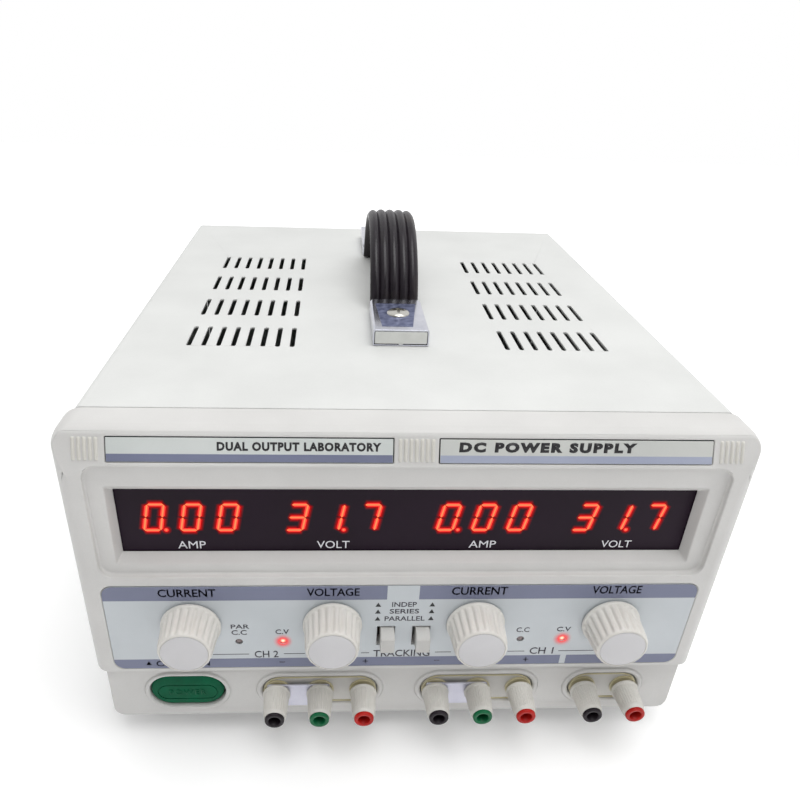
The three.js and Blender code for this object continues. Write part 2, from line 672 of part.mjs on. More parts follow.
/** Push button seen from the side: flat face, sloping top. */
function makeTrackButton(x) {
  const { left, right, ends, face, tail } = TRACK_BUTTON;
  const { depth, drop, start, chamfer } = TRACK_BUTTON_SLOPE;
  const [low, high] = [TRACK_HOLE.bottom + ends, TRACK_HOLE.top - ends];
  const outline = polygon([
    [face, low + chamfer],
    [face + chamfer, low],
    [tail, low],
    [tail, high],
    [FRONT, high],
    [face + depth, high - drop],
    [face, low + start],
  ]);
  return alongX(outline, x - left, x + right);
}

KNOB_X.forEach((x, i) => place(`knob_${KNOB_NAMES[i]}`, makeKnob(x), CREAM_PLASTIC));
place('control_board', makeControlBoard(), BOARD_GREEN);

LED_X.forEach((x, i) => {
  const end = CONTROL_BOARD_FRONT - GAP;
  const profile = [
    [0, LED_TIP],
    [LED_DOME.radius, LED_TIP + LED_DOME.shoulder],
    [LED_RADIUS, LED_TIP + LED_DOME.height],
    [LED_RADIUS, end],
    [0, end],
  ];
  const look = LED_NAMES[i].startsWith('cv') ? LED_LIT : LED_DARK;
  place(`lamp_${LED_NAMES[i]}`, turned(profile, x, LED_Z, 10), look);
});

place('tracking_button_left', makeTrackButton(-TRACK_X), CREAM_PLASTIC);
place('tracking_button_right', makeTrackButton(TRACK_X), CREAM_PLASTIC);
place(
  'tracking_switch',
  block(
    [-TRACK_SWITCH.halfWidth, TRACK_SWITCH.halfWidth],
    [TRACK_SWITCH.front, CONTROL_BOARD_FRONT - GAP],
    [TRACK_SWITCH.bottom, TRACK_SWITCH.top],
  ),
  BLACK_PLASTIC,
);

place(
  'power_button',
  alongY(
    oblong(POWER_BUTTON.x, POST_Z, POWER_BUTTON.halfLength, POWER_BUTTON.halfHeight),
    POWER_BUTTON.face, POWER_BUTTON.tail,
  ),
  GREEN_BUTTON,
);
place(
  'power_switch',
  block(
    [POWER.x - POWER_SWITCH.halfWidth, POWER.x + POWER_SWITCH.halfWidth],
    [POWER_SWITCH.front, POWER_SWITCH.back],
    [POST_Z - POWER_SWITCH.halfHeight, POST_Z + POWER_SWITCH.halfHeight],
  ),
  BLACK_PLASTIC,
);

// ---------------------------------------------------------------- binding posts

/** Insulating board behind the chin: a pad in each window, a collar round each stud. */
function makeTerminalBoard() {
  const { left, right, bottom, top, thickness } = TERMINAL_BOARD;
  const back = TERMINAL_BOARD_FRONT + thickness;
  const pieces = [block([left, right], [TERMINAL_BOARD_FRONT, back], [bottom, top])];
  const holes = [];
  for (const postGroup of POST_GROUPS) {
    const half = windowHalfLength(postGroup) - RIM_WIDTH - PAD.clearance;
    const height = WINDOW_HALF_HEIGHT - RIM_WIDTH - PAD.clearance;
    const pad = oblong(postGroup.centre, POST_Z, half, height);
    pieces.push(alongY(pad, PAD.front, TERMINAL_BOARD_FRONT + 1));
    for (const { x } of postPositions(postGroup)) {
      pieces.push(barY(x, POST_Z, COLLAR.radius, COLLAR.front, PAD.front + 1, 16));
      holes.push(barY(x, POST_Z, STUD_RADIUS + GAP, COLLAR.front - 1, back + 1, 10));
    }
  }
  return without(union(pieces), holes);
}

/** Knurled cap, open right through for the stud and its socket. */
function makePostCap(x) {
  const bore = STUD_RADIUS + GAP;
  const gripBack = CAP_BACK - CAP_FLANGE.thickness;
  const profile = [
    [bore, CAP_BACK],
    [CAP_FLANGE.radius, CAP_BACK],
    [CAP_FLANGE.radius, gripBack],
    [CAP_GRIP.backRadius, gripBack - CAP_GRIP.step],
    [CAP_GRIP.frontRadius, CAP_TIP + CAP_GRIP.nose],
    [CAP_GRIP.tipRadius, CAP_TIP],
    [bore, CAP_TIP],
    [bore, CAP_BACK],
  ];
  return turned(profile, x, POST_Z, CAP_SIDES);
}

/** Metal stud: plug socket in front, nut behind the board. */
function makePostStud(x) {
  const nutFront = TERMINAL_BOARD_FRONT + TERMINAL_BOARD.thickness + GAP;
  const stud = barY(x, POST_Z, STUD_RADIUS, STUD_TIP, STUD_END, 10);
  const nut = barY(x, POST_Z, NUT.radius, nutFront, nutFront + NUT.thickness, 6);
  const socket = barY(x, POST_Z, SOCKET_RADIUS, STUD_TIP - 1, STUD_TIP + SOCKET_DEPTH, 8);
  return stud.add(nut).subtract(socket);
}

/** Flat metal strip that joins two neighbouring posts. */
function makeLink(from, to) {
  const y = [LINK_BACK - LINK.thickness, LINK_BACK];
  const strip = block([from - LINK.overlap, to + LINK.overlap], y, [LINK.bottom, LINK.top]);
  const holes = [from, to].map((x) => (
    barY(x, POST_Z, STUD_RADIUS + GAP, y[0] - 1, y[1] + 1, 10)
  ));
  return without(strip, holes);
}

place('terminal_board', makeTerminalBoard(), TERMINAL_PLASTIC);
POST_GROUPS.forEach((postGroup, g) => {
  const posts = postPositions(postGroup);
  for (const { x, colour } of posts) {
    place(`post_cap_${g + 1}_${colour}`, makePostCap(x), CREAM_PLASTIC);
    place(`post_stud_${g + 1}_${colour}`, makePostStud(x), NICKEL);
  }
  if (posts.length === 3) {
    place(`post_link_${g + 1}`, makeLink(posts[0].x, posts[1].x), NICKEL);
  }
});

// ----------------------------------------------------------------------- handle

/** Band of the strap between two radii about the arch's centre, as a side view. */
function strapBand(innerRadius, outerRadius) {
  const centreZ = STRAP_APEX - STRAP_OUTER_RADIUS;
  const steps = 12;
  const arc = (radius, direction) => {
    const reach = Math.acos((STRAP_FOOT_Z - centreZ) / radius);
    return Array.from({ length: steps + 1 }, (unused, i) => {
      const angle = direction * reach * (1 - (2 * i) / steps);
      return [HANDLE_Y + radius * Math.sin(angle), centreZ + radius * Math.cos(angle)];
    });
  };
  return polygon([...arc(outerRadius, 1), ...arc(innerRadius, -1)]);
}

/** Ribbed strap bowed up between the end caps, with a flat tail under each cap. */
function makeStrap() {
  const baseRadius = STRAP_OUTER_RADIUS - STRAP_RIB_HEIGHT;
  const half = STRAP_HALF_WIDTH;
  const pieces = [alongX(strapBand(baseRadius - STRAP_BASE, baseRadius), -half, half)];
  const pitch = (2 * half) / STRAP_RIBS;
  for (let i = 0; i < STRAP_RIBS; i += 1) {
    const x = -half + pitch * (i + 0.5);
    const rib = strapBand(baseRadius - 0.5, STRAP_OUTER_RADIUS);
    const ribHalf = (STRAP_RIB_SHARE * pitch) / 2;
    pieces.push(alongX(rib, x - ribHalf, x + ribHalf));
  }
  const z = [STRAP_FOOT_Z, STRAP_FOOT_Z + STRAP_TAIL.thickness];
  const holes = [];
  for (const side of [-1, 1]) {
    const ends = [STRAP_TAIL.end, STRAP_TAIL.start].map((offset) => HANDLE_Y + side * offset);
    const y = [Math.min(...ends), Math.max(...ends)];
    pieces.push(block([-STRAP_TAIL.halfWidth, STRAP_TAIL.halfWidth], y, z));
    const screwY = HANDLE_Y + side * SCREW_OFFSET;
    holes.push(barZ(0, screwY, SCREW.shankRadius + GAP, z[0] - 1, z[1] + 1, 8));
  }
  return without(union(pieces), holes);
}

/** End cap: a shallow metal shell, open below and at the strap's side. */
function makeHandleCap(side) {
  const cap = HANDLE_CAP;
  const bottom = CASE_TOP + GAP;
  const top = bottom + cap.height;
  const y = (near, far) => {
    const ends = [HANDLE_Y + side * near, HANDLE_Y + side * far];
    return [Math.min(...ends), Math.max(...ends)];
  };
  const outline = roundedRectangle(
    -cap.halfWidth, cap.halfWidth, bottom, top, cap.corner, 0.1,
  );
  const shell = alongY(outline, ...y(cap.inner, cap.outer));
  const slotHalf = STRAP_TAIL.halfWidth + GAP;
  const slotTop = STRAP_FOOT_Z + STRAP_TAIL.thickness + GAP;
  const screwY = HANDLE_Y + side * SCREW_OFFSET;
  return without(shell, [
    block([-slotHalf, slotHalf], y(cap.inner - 1, STRAP_TAIL.end + 2), [bottom - 1, slotTop]),
    barZ(0, screwY, SCREW.shankRadius + GAP, bottom - 1, top + 1, 8),
  ]);
}

/** Pan-head screw through the cap, the strap's tail and the cover. */
function makeHandleScrew(side) {
  const y = HANDLE_Y + side * SCREW_OFFSET;
  const seat = CASE_TOP + GAP + HANDLE_CAP.height + GAP;
  const head = barZ(0, y, SCREW.headRadius, seat, seat + SCREW.headHeight, 16);
  return head.add(barZ(0, y, SCREW.shankRadius, SCREW.end, seat + 0.5, 8));
}

place('handle_strap', makeStrap(), STRAP_RUBBER);
for (const [end, side] of [['front', -1], ['rear', 1]]) {
  place(`handle_cap_${end}`, makeHandleCap(side), CHROME);
  place(`handle_screw_${end}`, makeHandleScrew(side), NICKEL);
}

// ------------------------------------------------------------------ rear pieces

/** Finned heat sink on one side of the rear panel, fins upright. */
function makeHeatsink(side) {
  const { innerX, outerX, bottom, top, base, fins, fin } = HEATSINK;
  const back = CASE_BACK + GAP;
  const x = side < 0 ? [-outerX, -innerX] : [innerX, outerX];
  const pieces = [block(x, [back, back + base], [bottom, top])];
  const pitch = (outerX - innerX - fin) / (fins - 1);
  for (let i = 0; i < fins; i += 1) {
    const left = x[0] + i * pitch;
    pieces.push(block([left, left + fin], [back + base - 0.5, REAR_LIMIT], [bottom, top]));
  }
  return union(pieces);
}

/** Fan housing: square frame, round duct, and a motor seat on four struts. */
function makeFanFrame() {
  const half = FAN.size / 2;
  const y = [FAN_BACK - FAN.depth, FAN_BACK];
  const z = [FAN.z - half, FAN.z + half];
  const frame = block([-half, half], y, z).subtract(
    barY(0, FAN.z, FAN.bore, y[0] - 1, y[1] + 1, 20),
  );
  const seatDepth = [y[0], y[0] + FAN.strut];
  const arm = FAN.bore + 1;
  const struts = [
    block([-arm, arm], seatDepth, [FAN.z - FAN.strut / 2, FAN.z + FAN.strut / 2]),
    block([-FAN.strut / 2, FAN.strut / 2], seatDepth, [FAN.z - arm, FAN.z + arm]),
    barY(0, FAN.z, FAN.hub, ...seatDepth),
  ];
  const bore = barY(0, FAN.z, SPINDLE.bore, y[0] - 1, y[0] + SPINDLE.boreDepth, 8);
  return union([frame, ...struts]).subtract(bore);
}

/** Fan rotor: hub with a spindle and pitched blades. */
function makeFanRotor() {
  const middle = (ROTOR.front + ROTOR.back) / 2;
  const chord = (ROTOR.back - ROTOR.front) * 0.95;
  const pieces = [];
  for (let i = 0; i < ROTOR.blades; i += 1) {
    const length = ROTOR.tip - ROTOR.hub + 4;
    const blade = new THREE.BoxGeometry(length, chord, 1.2);
    blade.rotateX(THREE.MathUtils.degToRad(ROTOR.pitchDegrees));
    blade.translate(ROTOR.hub - 2 + length / 2, 0, 0);
    blade.rotateY((i / ROTOR.blades) * 2 * Math.PI).translate(0, middle, FAN.z);
    pieces.push(solid(blade));
  }
  const sweep = barY(0, FAN.z, ROTOR.tip, ROTOR.front, ROTOR.back, 20);
  const spindleFront = FAN_BACK - FAN.depth + 1;
  const spindle = barY(0, FAN.z, SPINDLE.radius, spindleFront, ROTOR.front + 1, 8);
  const hub = barY(0, FAN.z, ROTOR.hub, ROTOR.front, ROTOR.back);
  return union(pieces).intersect(sweep).add(hub).add(spindle);
}

/** Flat wire guard over the fan: rings on a cross that reaches the corners. */
function makeFanGuard() {
  const y = [CASE_BACK + GAP, CASE_BACK + GAP + GUARD.thickness];
  const rings = GUARD.rings.map((radius) => {
    const [inner, outer] = [radius - GUARD.wire / 2, radius + GUARD.wire / 2];
    const profile = [[inner, y[0]], [outer, y[0]], [outer, y[1]], [inner, y[1]], [inner, y[0]]];
    return turned(profile, 0, FAN.z, 16);
  });
  const spokes = [45, 135].map((angle) => {
    const spoke = new THREE.BoxGeometry(2 * GUARD.reach, GUARD.thickness, GUARD.wire);
    spoke.rotateY(THREE.MathUtils.degToRad(angle));
    return solid(spoke.translate(0, (y[0] + y[1]) / 2, FAN.z));
  });
  return union([...rings, ...spokes, barY(0, FAN.z, GUARD.hub, ...y, 12)]);
}

/** Mains inlet: flanged body, socket with three blades, slot for the fuse drawer. */
function makeInlet() {
  const half = INLET.halfWidth;
  const flangeY = [CASE_BACK + GAP, CASE_BACK + GAP + INLET.flangeThickness];
  const rim = INLET.flange;
  const body = union([
    block([-half, half], [INLET.front, flangeY[1]], [INLET.bottom, INLET.top]),
    block([-half - rim, half + rim], flangeY, [INLET.bottom - rim, INLET.top + rim]),
  ]);
  const { halfWidth, bottom, top, chamfer, depth } = SOCKET;
  const mouth = polygon([
    [-halfWidth, bottom], [halfWidth, bottom], [halfWidth, top - chamfer],
    [halfWidth - chamfer, top], [-halfWidth + chamfer, top], [-halfWidth, top - chamfer],
  ]);
  const floor = flangeY[1] - depth;
  const drawer = DRAWER.halfWidth + GAP;
  const hollow = without(body, [
    alongY(mouth, floor, flangeY[1] + 1),
    block([-drawer, drawer], [DRAWER.inner - GAP, flangeY[1] + 1],
      [DRAWER.bottom - GAP, DRAWER.top + GAP]),
  ]);
  const tip = flangeY[1] - PINS.sunk;
  const blades = PINS.places.map(([x, z]) => block(
    [x - PINS.halfWidth, x + PINS.halfWidth], [floor - 1, tip],
    [z - PINS.halfHeight, z + PINS.halfHeight],
  ));
  return union([hollow, ...blades]);
}

for (const [side, sign] of [['left', -1], ['right', 1]]) {
  place(`heatsink_${side}`, makeHeatsink(sign), ALUMINIUM);
}
place('fan_frame', makeFanFrame(), BLACK_PLASTIC);
place('fan_rotor', makeFanRotor(), BLACK_PLASTIC);
place('fan_guard', makeFanGuard(), CHROME);
place('mains_inlet', makeInlet(), BLACK_PLASTIC);
place(
  'fuse_drawer',
  block(
    [-DRAWER.halfWidth, DRAWER.halfWidth],
    [DRAWER.inner, CASE_BACK + GAP + INLET.flangeThickness + DRAWER.lip],
    [DRAWER.bottom, DRAWER.top],
  ),
  BLACK_PLASTIC,
);

// ---------------------------------------------------------------- inside pieces

/** Mains transformer: laminated core with the winding bulging out front and back. */
function makeTransformer() {
  const outline = roundedRectangle(...WINDING.x, ...WINDING.y, WINDING.corner);
  return union([
    block(CORE.x, CORE.y, [FLOOR_TOP, FLOOR_TOP + CORE.height]),
    alongZ(outline, FLOOR_TOP + WINDING.bottom, FLOOR_TOP + WINDING.top),
  ]);
}

/** Regulator board on four standoffs, with its reservoir capacitors and relays. */
function makeMainBoard() {
  const underside = FLOOR_TOP + MAIN_BOARD.lift;
  const top = underside + BOARD_THICKNESS;
  const sunk = top - 0.5;
  const pieces = [block(MAIN_BOARD.x, MAIN_BOARD.y, [underside, top])];
  for (const x of STANDOFF.x) {
    for (const y of STANDOFF.y) {
      pieces.push(barZ(x, y, STANDOFF.radius, FLOOR_TOP, underside + 0.5, 8));
    }
  }
  for (const x of CAPACITOR.x) {
    for (const y of CAPACITOR.y) {
      pieces.push(barZ(x, y, CAPACITOR.radius, sunk, top + CAPACITOR.height));
    }
  }
  for (const y of RELAY.y) {
    pieces.push(block(RELAY.x, [y, y + RELAY.depth], [sunk, top + RELAY.height]));
  }
  return union(pieces);
}

place('transformer', makeTransformer(), CORE_STEEL);
place('main_board', makeMainBoard(), BOARD_GREEN);

export default group;
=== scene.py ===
import math

import bmesh
import bpy
from mathutils import Matrix, Vector


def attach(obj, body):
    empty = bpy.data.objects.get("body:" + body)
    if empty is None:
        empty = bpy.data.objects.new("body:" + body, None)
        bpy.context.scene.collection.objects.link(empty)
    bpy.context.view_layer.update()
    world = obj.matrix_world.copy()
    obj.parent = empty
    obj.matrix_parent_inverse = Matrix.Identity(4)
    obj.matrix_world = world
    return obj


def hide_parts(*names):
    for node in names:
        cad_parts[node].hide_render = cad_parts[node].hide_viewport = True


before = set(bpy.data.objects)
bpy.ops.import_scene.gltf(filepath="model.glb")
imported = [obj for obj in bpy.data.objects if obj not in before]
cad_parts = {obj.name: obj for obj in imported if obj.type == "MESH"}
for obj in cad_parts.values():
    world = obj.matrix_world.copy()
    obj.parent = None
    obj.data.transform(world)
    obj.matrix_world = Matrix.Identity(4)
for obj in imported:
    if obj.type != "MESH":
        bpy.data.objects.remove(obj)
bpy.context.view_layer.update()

# Looks of a dual-output bench power supply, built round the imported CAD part.
# Shapes are written in millimetres and turned into metres as each mesh is made.
# +Z is up and -Y is the front.

MM = 0.001
CASE = "case"  # body that most pieces ride on


def link(name, data):
    """New object in the scene."""
    made = bpy.data.objects.new(name, data)
    bpy.context.scene.collection.objects.link(made)
    return made


# ---- camera

CAMERA_PLACE = (-0.030775, -0.367462, 0.291418)  # metres
CAMERA_TURN = (3.648, 27.627, 2.350)  # yaw, pitch and roll in degrees
CAMERA_LENS, CAMERA_SHIFT = 30.48, (0.0361, -0.0195)


def make_camera():
    yaw, pitch, roll = (math.radians(a) for a in CAMERA_TURN)
    forward = Vector((
        math.sin(yaw) * math.cos(pitch), math.cos(yaw) * math.cos(pitch), -math.sin(pitch),
    ))
    right = Vector((math.cos(yaw), -math.sin(yaw), 0))
    up = right.cross(forward)
    x = math.cos(roll) * right + math.sin(roll) * up
    y = math.cos(roll) * up - math.sin(roll) * right
    data = bpy.data.cameras.new("camera")
    data.sensor_width = 36
    data.lens = CAMERA_LENS
    data.shift_x, data.shift_y = CAMERA_SHIFT
    data.clip_start = 0.01
    camera = link("camera", data)
    turn = Matrix((x, y, -forward)).transposed().to_4x4()
    camera.matrix_world = Matrix.Translation(CAMERA_PLACE) @ turn
    bpy.context.scene.camera = camera


make_camera()

# ---- outlines


def square(left, right, bottom, top):
    return [(left, bottom), (right, bottom), (right, top), (left, top)]


def cornered(left, right, bottom, top, radii, steps=6):
    """Rectangle with its own radius at each corner, from lower right to lower left."""
    spots = (
        (right, bottom, -1, 1), (right, top, -1, -1), (left, top, 1, -1), (left, bottom, 1, 1),
    )
    points = []
    for corner, ((u, v, to_u, to_v), radius) in enumerate(zip(spots, radii)):
        for i in range(steps + 1 if radius else 1):
            angle = math.radians(90 * corner - 90 + 90 * i / steps)
            points.append((
                u + to_u * radius + radius * math.cos(angle),
                v + to_v * radius + radius * math.sin(angle),
            ))
    return points


def rounded(left, right, bottom, top, radius, lower=None, steps=6):
    """Rectangle with round corners; `lower` is the radius of the two lower ones."""
    low = radius if lower is None else lower
    return cornered(left, right, bottom, top, (low, radius, radius, low), steps)


def oblong(u, v, long, high, steps=10):
    """Slot shape round a middle; `long` and `high` are half sizes."""
    return rounded(u - long, u + long, v - high, v + high, high, steps=steps)


def circle(u, v, radius, segments=40):
    turn = 2 * math.pi / segments
    return [
        (u + radius * math.cos(i * turn), v + radius * math.sin(i * turn))
        for i in range(segments)
    ]


def bend(start, control, end, steps=8):
    """Points of a quadratic curve, without its start."""
    points = []
    for i in range(1, steps + 1):
        t = i / steps
        points.append(tuple(
            (1 - t) ** 2 * a + 2 * t * (1 - t) * b + t * t * c
            for a, b, c in zip(start, control, end)
        ))
    return points


# ---- meshes

PLACE = {
    "X": lambda u, v, w: (w, u, v),
    "Y": lambda u, v, w: (u, w, v),
    "Z": lambda u, v, w: (u, v, w),
}


def section(outline, along, axis="Y"):
    """Points of a flat outline at a place along an axis."""
    return [PLACE[axis](u, v, along) for u, v in outline]


def mesh_object(name, points, faces):
    """Object from points in millimetres, with doubles merged and faces turned outward."""
    mesh = bpy.data.meshes.new(name)
    mesh.from_pydata([Vector(p) * MM for p in points], [], faces)
    build = bmesh.new()
    build.from_mesh(mesh)
    bmesh.ops.remove_doubles(build, verts=build.verts, dist=2e-7)
    bmesh.ops.recalc_face_normals(build, faces=build.faces)
    build.to_mesh(mesh)
    build.free()
    return link(name, mesh)


def loft(name, rings, closed=False):
    """Skin through rings of points; a closed one joins the last ring to the first."""
    count, total = len(rings[0]), len(rings)
    faces = []
    for r in range(total if closed else total - 1):
        here, there = r * count, ((r + 1) % total) * count
        for i in range(count):
            j = (i + 1) % count
            faces.append((here + i, here + j, there + j, there + i))
    if not closed:
        faces.append(tuple(reversed(range(count))))
        faces.append(tuple(range((total - 1) * count, total * count)))
    return mesh_object(name, [p for ring in rings for p in ring], faces)


def prism(name, outline, axis, start, end):
    """Outline extruded along an axis; it lies in y-z for X, x-z for Y and x-y for Z."""
    return loft(name, [section(outline, w, axis) for w in (start, end)])


def block(name, x, y, z):
    return prism(name, square(*x, *y), "Z", *z)


def oblong_stack(name, middle, long, high, levels, steps=10, closed=False):
    """Skin through oblongs; a level is how much smaller one is all round, and its y."""
    rings = [
        section(oblong(*middle, long - inset, high - inset, steps), y) for inset, y in levels
    ]
    return loft(name, rings, closed)


def round_bar(u, v, radius, start, end, axis="Y", segments=24):
    """Cylinder along an axis, mostly to cut a hole with."""
    return prism("round_bar", circle(u, v, radius, segments), axis, start, end)


def lathe(name, profile, centre, axis="Y", segments=48, flutes=0, depth=0.0, closed=False):
    """Turned shape. A profile row is radius, place along the axis and share of fluting."""
    rings = []
    for radius, along, *share in profile:
        ring = []
        for i in range(segments):
            angle = 2 * math.pi * i / segments
            valley = (0.5 - 0.5 * math.cos(flutes * angle)) ** 1.8
            r = radius - depth * valley * (share[0] if share else 0)
            u, v = centre[0] + r * math.cos(angle), centre[1] + r * math.sin(angle)
            ring.append(PLACE[axis](u, v, along))
        rings.append(ring)
    return loft(name, rings, closed)


def dome(radius, face, height, steps):
    """Profile rows of a quarter of an ellipse, from a face out to its middle."""
    angles = [math.radians(90 * i / steps) for i in range(steps + 1)]
    return [(radius * math.cos(angle), face + height * math.sin(angle)) for angle in angles]


def swap_mesh(target, mesh):
    old = target.data
    target.modifiers.clear()
    target.data = mesh
    bpy.data.meshes.remove(old)


def merge(name, parts):
    """One object that holds the meshes of several, which are removed."""
    build = bmesh.new()
    for part in parts:
        build.from_mesh(part.data)
        mesh = part.data
        bpy.data.objects.remove(part)
        bpy.data.meshes.remove(mesh)
    mesh = bpy.data.meshes.new(name)
    build.to_mesh(mesh)
    build.free()
    return link(name, mesh)


def combine(target, operation, parts):
    """Boolean of target with parts, applied at once."""
    tool = merge("tool", parts)
    step = target.modifiers.new("boolean", "BOOLEAN")
    step.operation = operation
    step.solver = "EXACT"
    step.use_self = len(parts) > 1
    step.object = tool
    graph = bpy.context.evaluated_depsgraph_get()
    swap_mesh(target, bpy.data.meshes.new_from_object(target.evaluated_get(graph)))
    mesh = tool.data
    bpy.data.objects.remove(tool)
    bpy.data.meshes.remove(mesh)
    return target


def join(target, *parts):
    return combine(target, "UNION", list(parts))


def cut(target, *parts):
    return combine(target, "DIFFERENCE", list(parts))


def soften(target, width, segments=2, angle=35):
    """Rounds every edge sharper than an angle and shades the faces smoothly.

    Large faces with holes are cut into triangles first, because they would be filled badly.
    """
    build = bmesh.new()
    build.from_mesh(target.data)
    bmesh.ops.remove_doubles(build, verts=build.verts, dist=2e-5)
    bmesh.ops.dissolve_limit(
        build, angle_limit=math.radians(0.5), verts=build.verts, edges=build.edges,
    )
    large = [face for face in build.faces if len(face.verts) > 20]
    bmesh.ops.triangulate(build, faces=large)
    build.to_mesh(target.data)
    build.free()
    target.data.shade_smooth()
    bevel = target.modifiers.new("bevel", "BEVEL")
    bevel.width = width * MM
    bevel.segments = segments
    bevel.limit_method = "ANGLE"
    bevel.angle_limit = math.radians(angle)
    bevel.use_clamp_overlap = False
    bevel.miter_outer = "MITER_ARC"
    normals = target.modifiers.new("normals", "WEIGHTED_NORMAL")
    normals.keep_sharp = True
    return target


def split_sides(target, reach, height):
    """Edge loop at a height round the faces beyond a distance from the middle."""
    build = bmesh.new()
    build.from_mesh(target.data)
    faces = [f for f in build.faces if all(abs(v.co.x) > reach * MM for v in f.verts)]
    edges = {edge for face in faces for edge in face.edges}
    verts = {vert for face in faces for vert in face.verts}
    bmesh.ops.bisect_plane(
        build, geom=[*verts, *edges, *faces], plane_co=(0, 0, height * MM), plane_no=(0, 0, 1),
    )
    build.to_mesh(target.data)
    build.free()


def smooth(target, angle=35):
    target.data.shade_smooth()
    target.data.set_sharp_from_angle(angle=math.radians(angle))
    return target


def piece(target, look, body=CASE, replaces=()):
    """Gives an object its material and its body, and hides the CAD parts that it replaces."""
    target.data.materials.clear()
    target.data.materials.append(look)
    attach(target, body)
    if replaces:
        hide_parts(*replaces)
    return target


# ---- materials


def srgb(text):
    """Linear colour of a #rrggbb one."""
    channels = [int(text[i:i + 2], 16) / 255 for i in (1, 3, 5)]
    return tuple(
        c / 12.92 if c <= 0.04045 else ((c + 0.055) / 1.055) ** 2.4 for c in channels
    ) + (1.0,)


class Nodes:
    """Node tree of a new material, or of the world, with short ways to add and link nodes."""

    def __init__(self, name, world=None):
        self.material = world or bpy.data.materials.new(name)
        self.material.use_nodes = True
        self.tree = self.material.node_tree
        self.shader = self.tree.nodes["Background" if world else "Principled BSDF"]

    def add(self, kind, values=None, **settings):
        made = self.tree.nodes.new("ShaderNode" + kind)
        for key, value in settings.items():
            setattr(made, key, value)
        for key, value in (values or {}).items():
            self.feed(made.inputs[key], value)
        return made

    def feed(self, socket, value):
        if isinstance(value, bpy.types.NodeSocket):
            self.tree.links.new(value, socket)
        else:
            socket.default_value = value

    def place(self, stretch=(1, 1, 1)):
        """Object coordinates, which are those of the shared frame, in metres."""
        where = self.add("TexCoord").outputs["Object"]
        return self.add("Mapping", {"Vector": where, "Scale": stretch}).outputs[0]

    def noise(self, scale, detail=3, stretch=(1, 1, 1)):
        values = {"Vector": self.place(stretch), "Scale": scale, "Detail": detail}
        return self.add("TexNoise", values).outputs["Fac"]

    def lit(self):
        return self.add("Attribute", attribute_name="lit").outputs["Fac"]

    def spread(self, value, low, high, start=0.3, end=0.7):
        """Maps a value's middle range to low..high."""
        values = {
            "Value": value, "From Min": start, "From Max": end, "To Min": low, "To Max": high,
        }
        return self.add("MapRange", values).outputs[0]

    def mix(self, share, first, second, how="MIX"):
        made = self.add("Mix", data_type="RGBA", blend_type=how)
        for index, value in ((0, share), (6, first), (7, second)):
            self.feed(made.inputs[index], value)
        return made.outputs[2]

    def bump(self, height, strength, distance=0.1):
        values = {"Height": height, "Strength": strength, "Distance": distance * MM}
        self.feed(self.shader.inputs["Normal"], self.add("Bump", values).outputs[0])

    def set(self, **values):
        names = {
            "colour": "Base Color", "rough": "Roughness", "metal": "Metallic",
            "coat": "Coat Weight", "specular": "Specular IOR Level",
            "glow": "Emission Color", "strength": "Emission Strength",
        }
        for key, value in values.items():
            self.feed(self.shader.inputs[names[key]], value)


def finish(
    name, dark, light, rough, patch=35, grain=1400, relief=0.15, stretch=(1, 1, 1), **more,
):
    """Mottled colour, uneven gloss and a fine grain; colours are #rrggbb."""
    nodes = Nodes(name)
    broad = nodes.noise(patch, 4)
    fine = nodes.noise(grain, 2, stretch)
    base = nodes.mix(nodes.spread(broad, 0, 1), srgb(dark), srgb(light))
    speck = nodes.mix(nodes.spread(fine, 0.0, 0.06), base, srgb(dark), "MULTIPLY")
    nodes.set(colour=speck, rough=nodes.spread(broad, *rough), **more)
    nodes.bump(fine, relief)
    return nodes.material


def printed_look(name, dark, light, rough=(0.4, 0.5), relief=0.1):
    return finish(name, dark, light, rough, grain=2600, relief=relief)


def board_look():
    """Green solder mask with paler copper tracks under it."""
    nodes = Nodes("circuit_board")
    cells = nodes.add(
        "TexVoronoi", {"Vector": nodes.place(), "Scale": 240},
        feature="DISTANCE_TO_EDGE", distance="MANHATTAN",
    )
    track = nodes.spread(cells.outputs["Distance"], 1, 0, 0.06, 0.1)
    colour = nodes.mix(track, srgb("#1f5636"), srgb("#3d7d50"))
    nodes.set(colour=colour, rough=nodes.spread(nodes.noise(60), 0.3, 0.45), coat=0.3)
    nodes.bump(track, 0.3)
    return nodes.material


def strap_look():
    """Dark brown rubber, dulled and scuffed along its length."""
    nodes = Nodes("strap_rubber")
    streak = nodes.noise(260, 4, (5, 0.5, 0.5))
    scuff = nodes.noise(45, 5)
    colour = nodes.mix(nodes.spread(streak, 0, 1), srgb("#130e14"), srgb("#251f26"))
    dusty = nodes.mix(nodes.spread(scuff, 0, 0.45, 0.52, 0.75), colour, srgb("#463c34"))
    nodes.set(colour=dusty, rough=nodes.spread(streak, 0.24, 0.4), specular=0.36)
    nodes.bump(nodes.noise(1800, 3, (2, 0.6, 0.6)), 0.25)
    return nodes.material


def lid_look():
    """Satin plate whose bluish colour is a painted reflection, mottled lighter and darker in
    patches.
    """
    nodes = Nodes("lid_painted_reflection")
    blotch = nodes.noise(420, 6)
    colour = nodes.mix(nodes.spread(blotch, 0, 1), srgb("#565d80"), srgb("#9096b4"))
    nodes.set(colour=colour, metal=0.85, rough=nodes.spread(blotch, 0.3, 0.5))
    nodes.bump(blotch, 0.5)
    return nodes.material


def floor_look():
    """White paper that glows a little, more so away from the middle."""
    nodes = Nodes("floor")
    grain = nodes.noise(4, 4)
    colour = nodes.mix(nodes.spread(grain, 0, 1), srgb("#f6f6f6"), srgb("#fafafa"))
    reach = nodes.add("VectorMath", {0: nodes.place()}, operation="LENGTH").outputs["Value"]
    glow = nodes.spread(reach, 0.13, 0.5, 0.25, 0.7)
    nodes.set(colour=colour, rough=nodes.spread(grain, 0.6, 0.7), glow=colour, strength=glow)
    return nodes.material


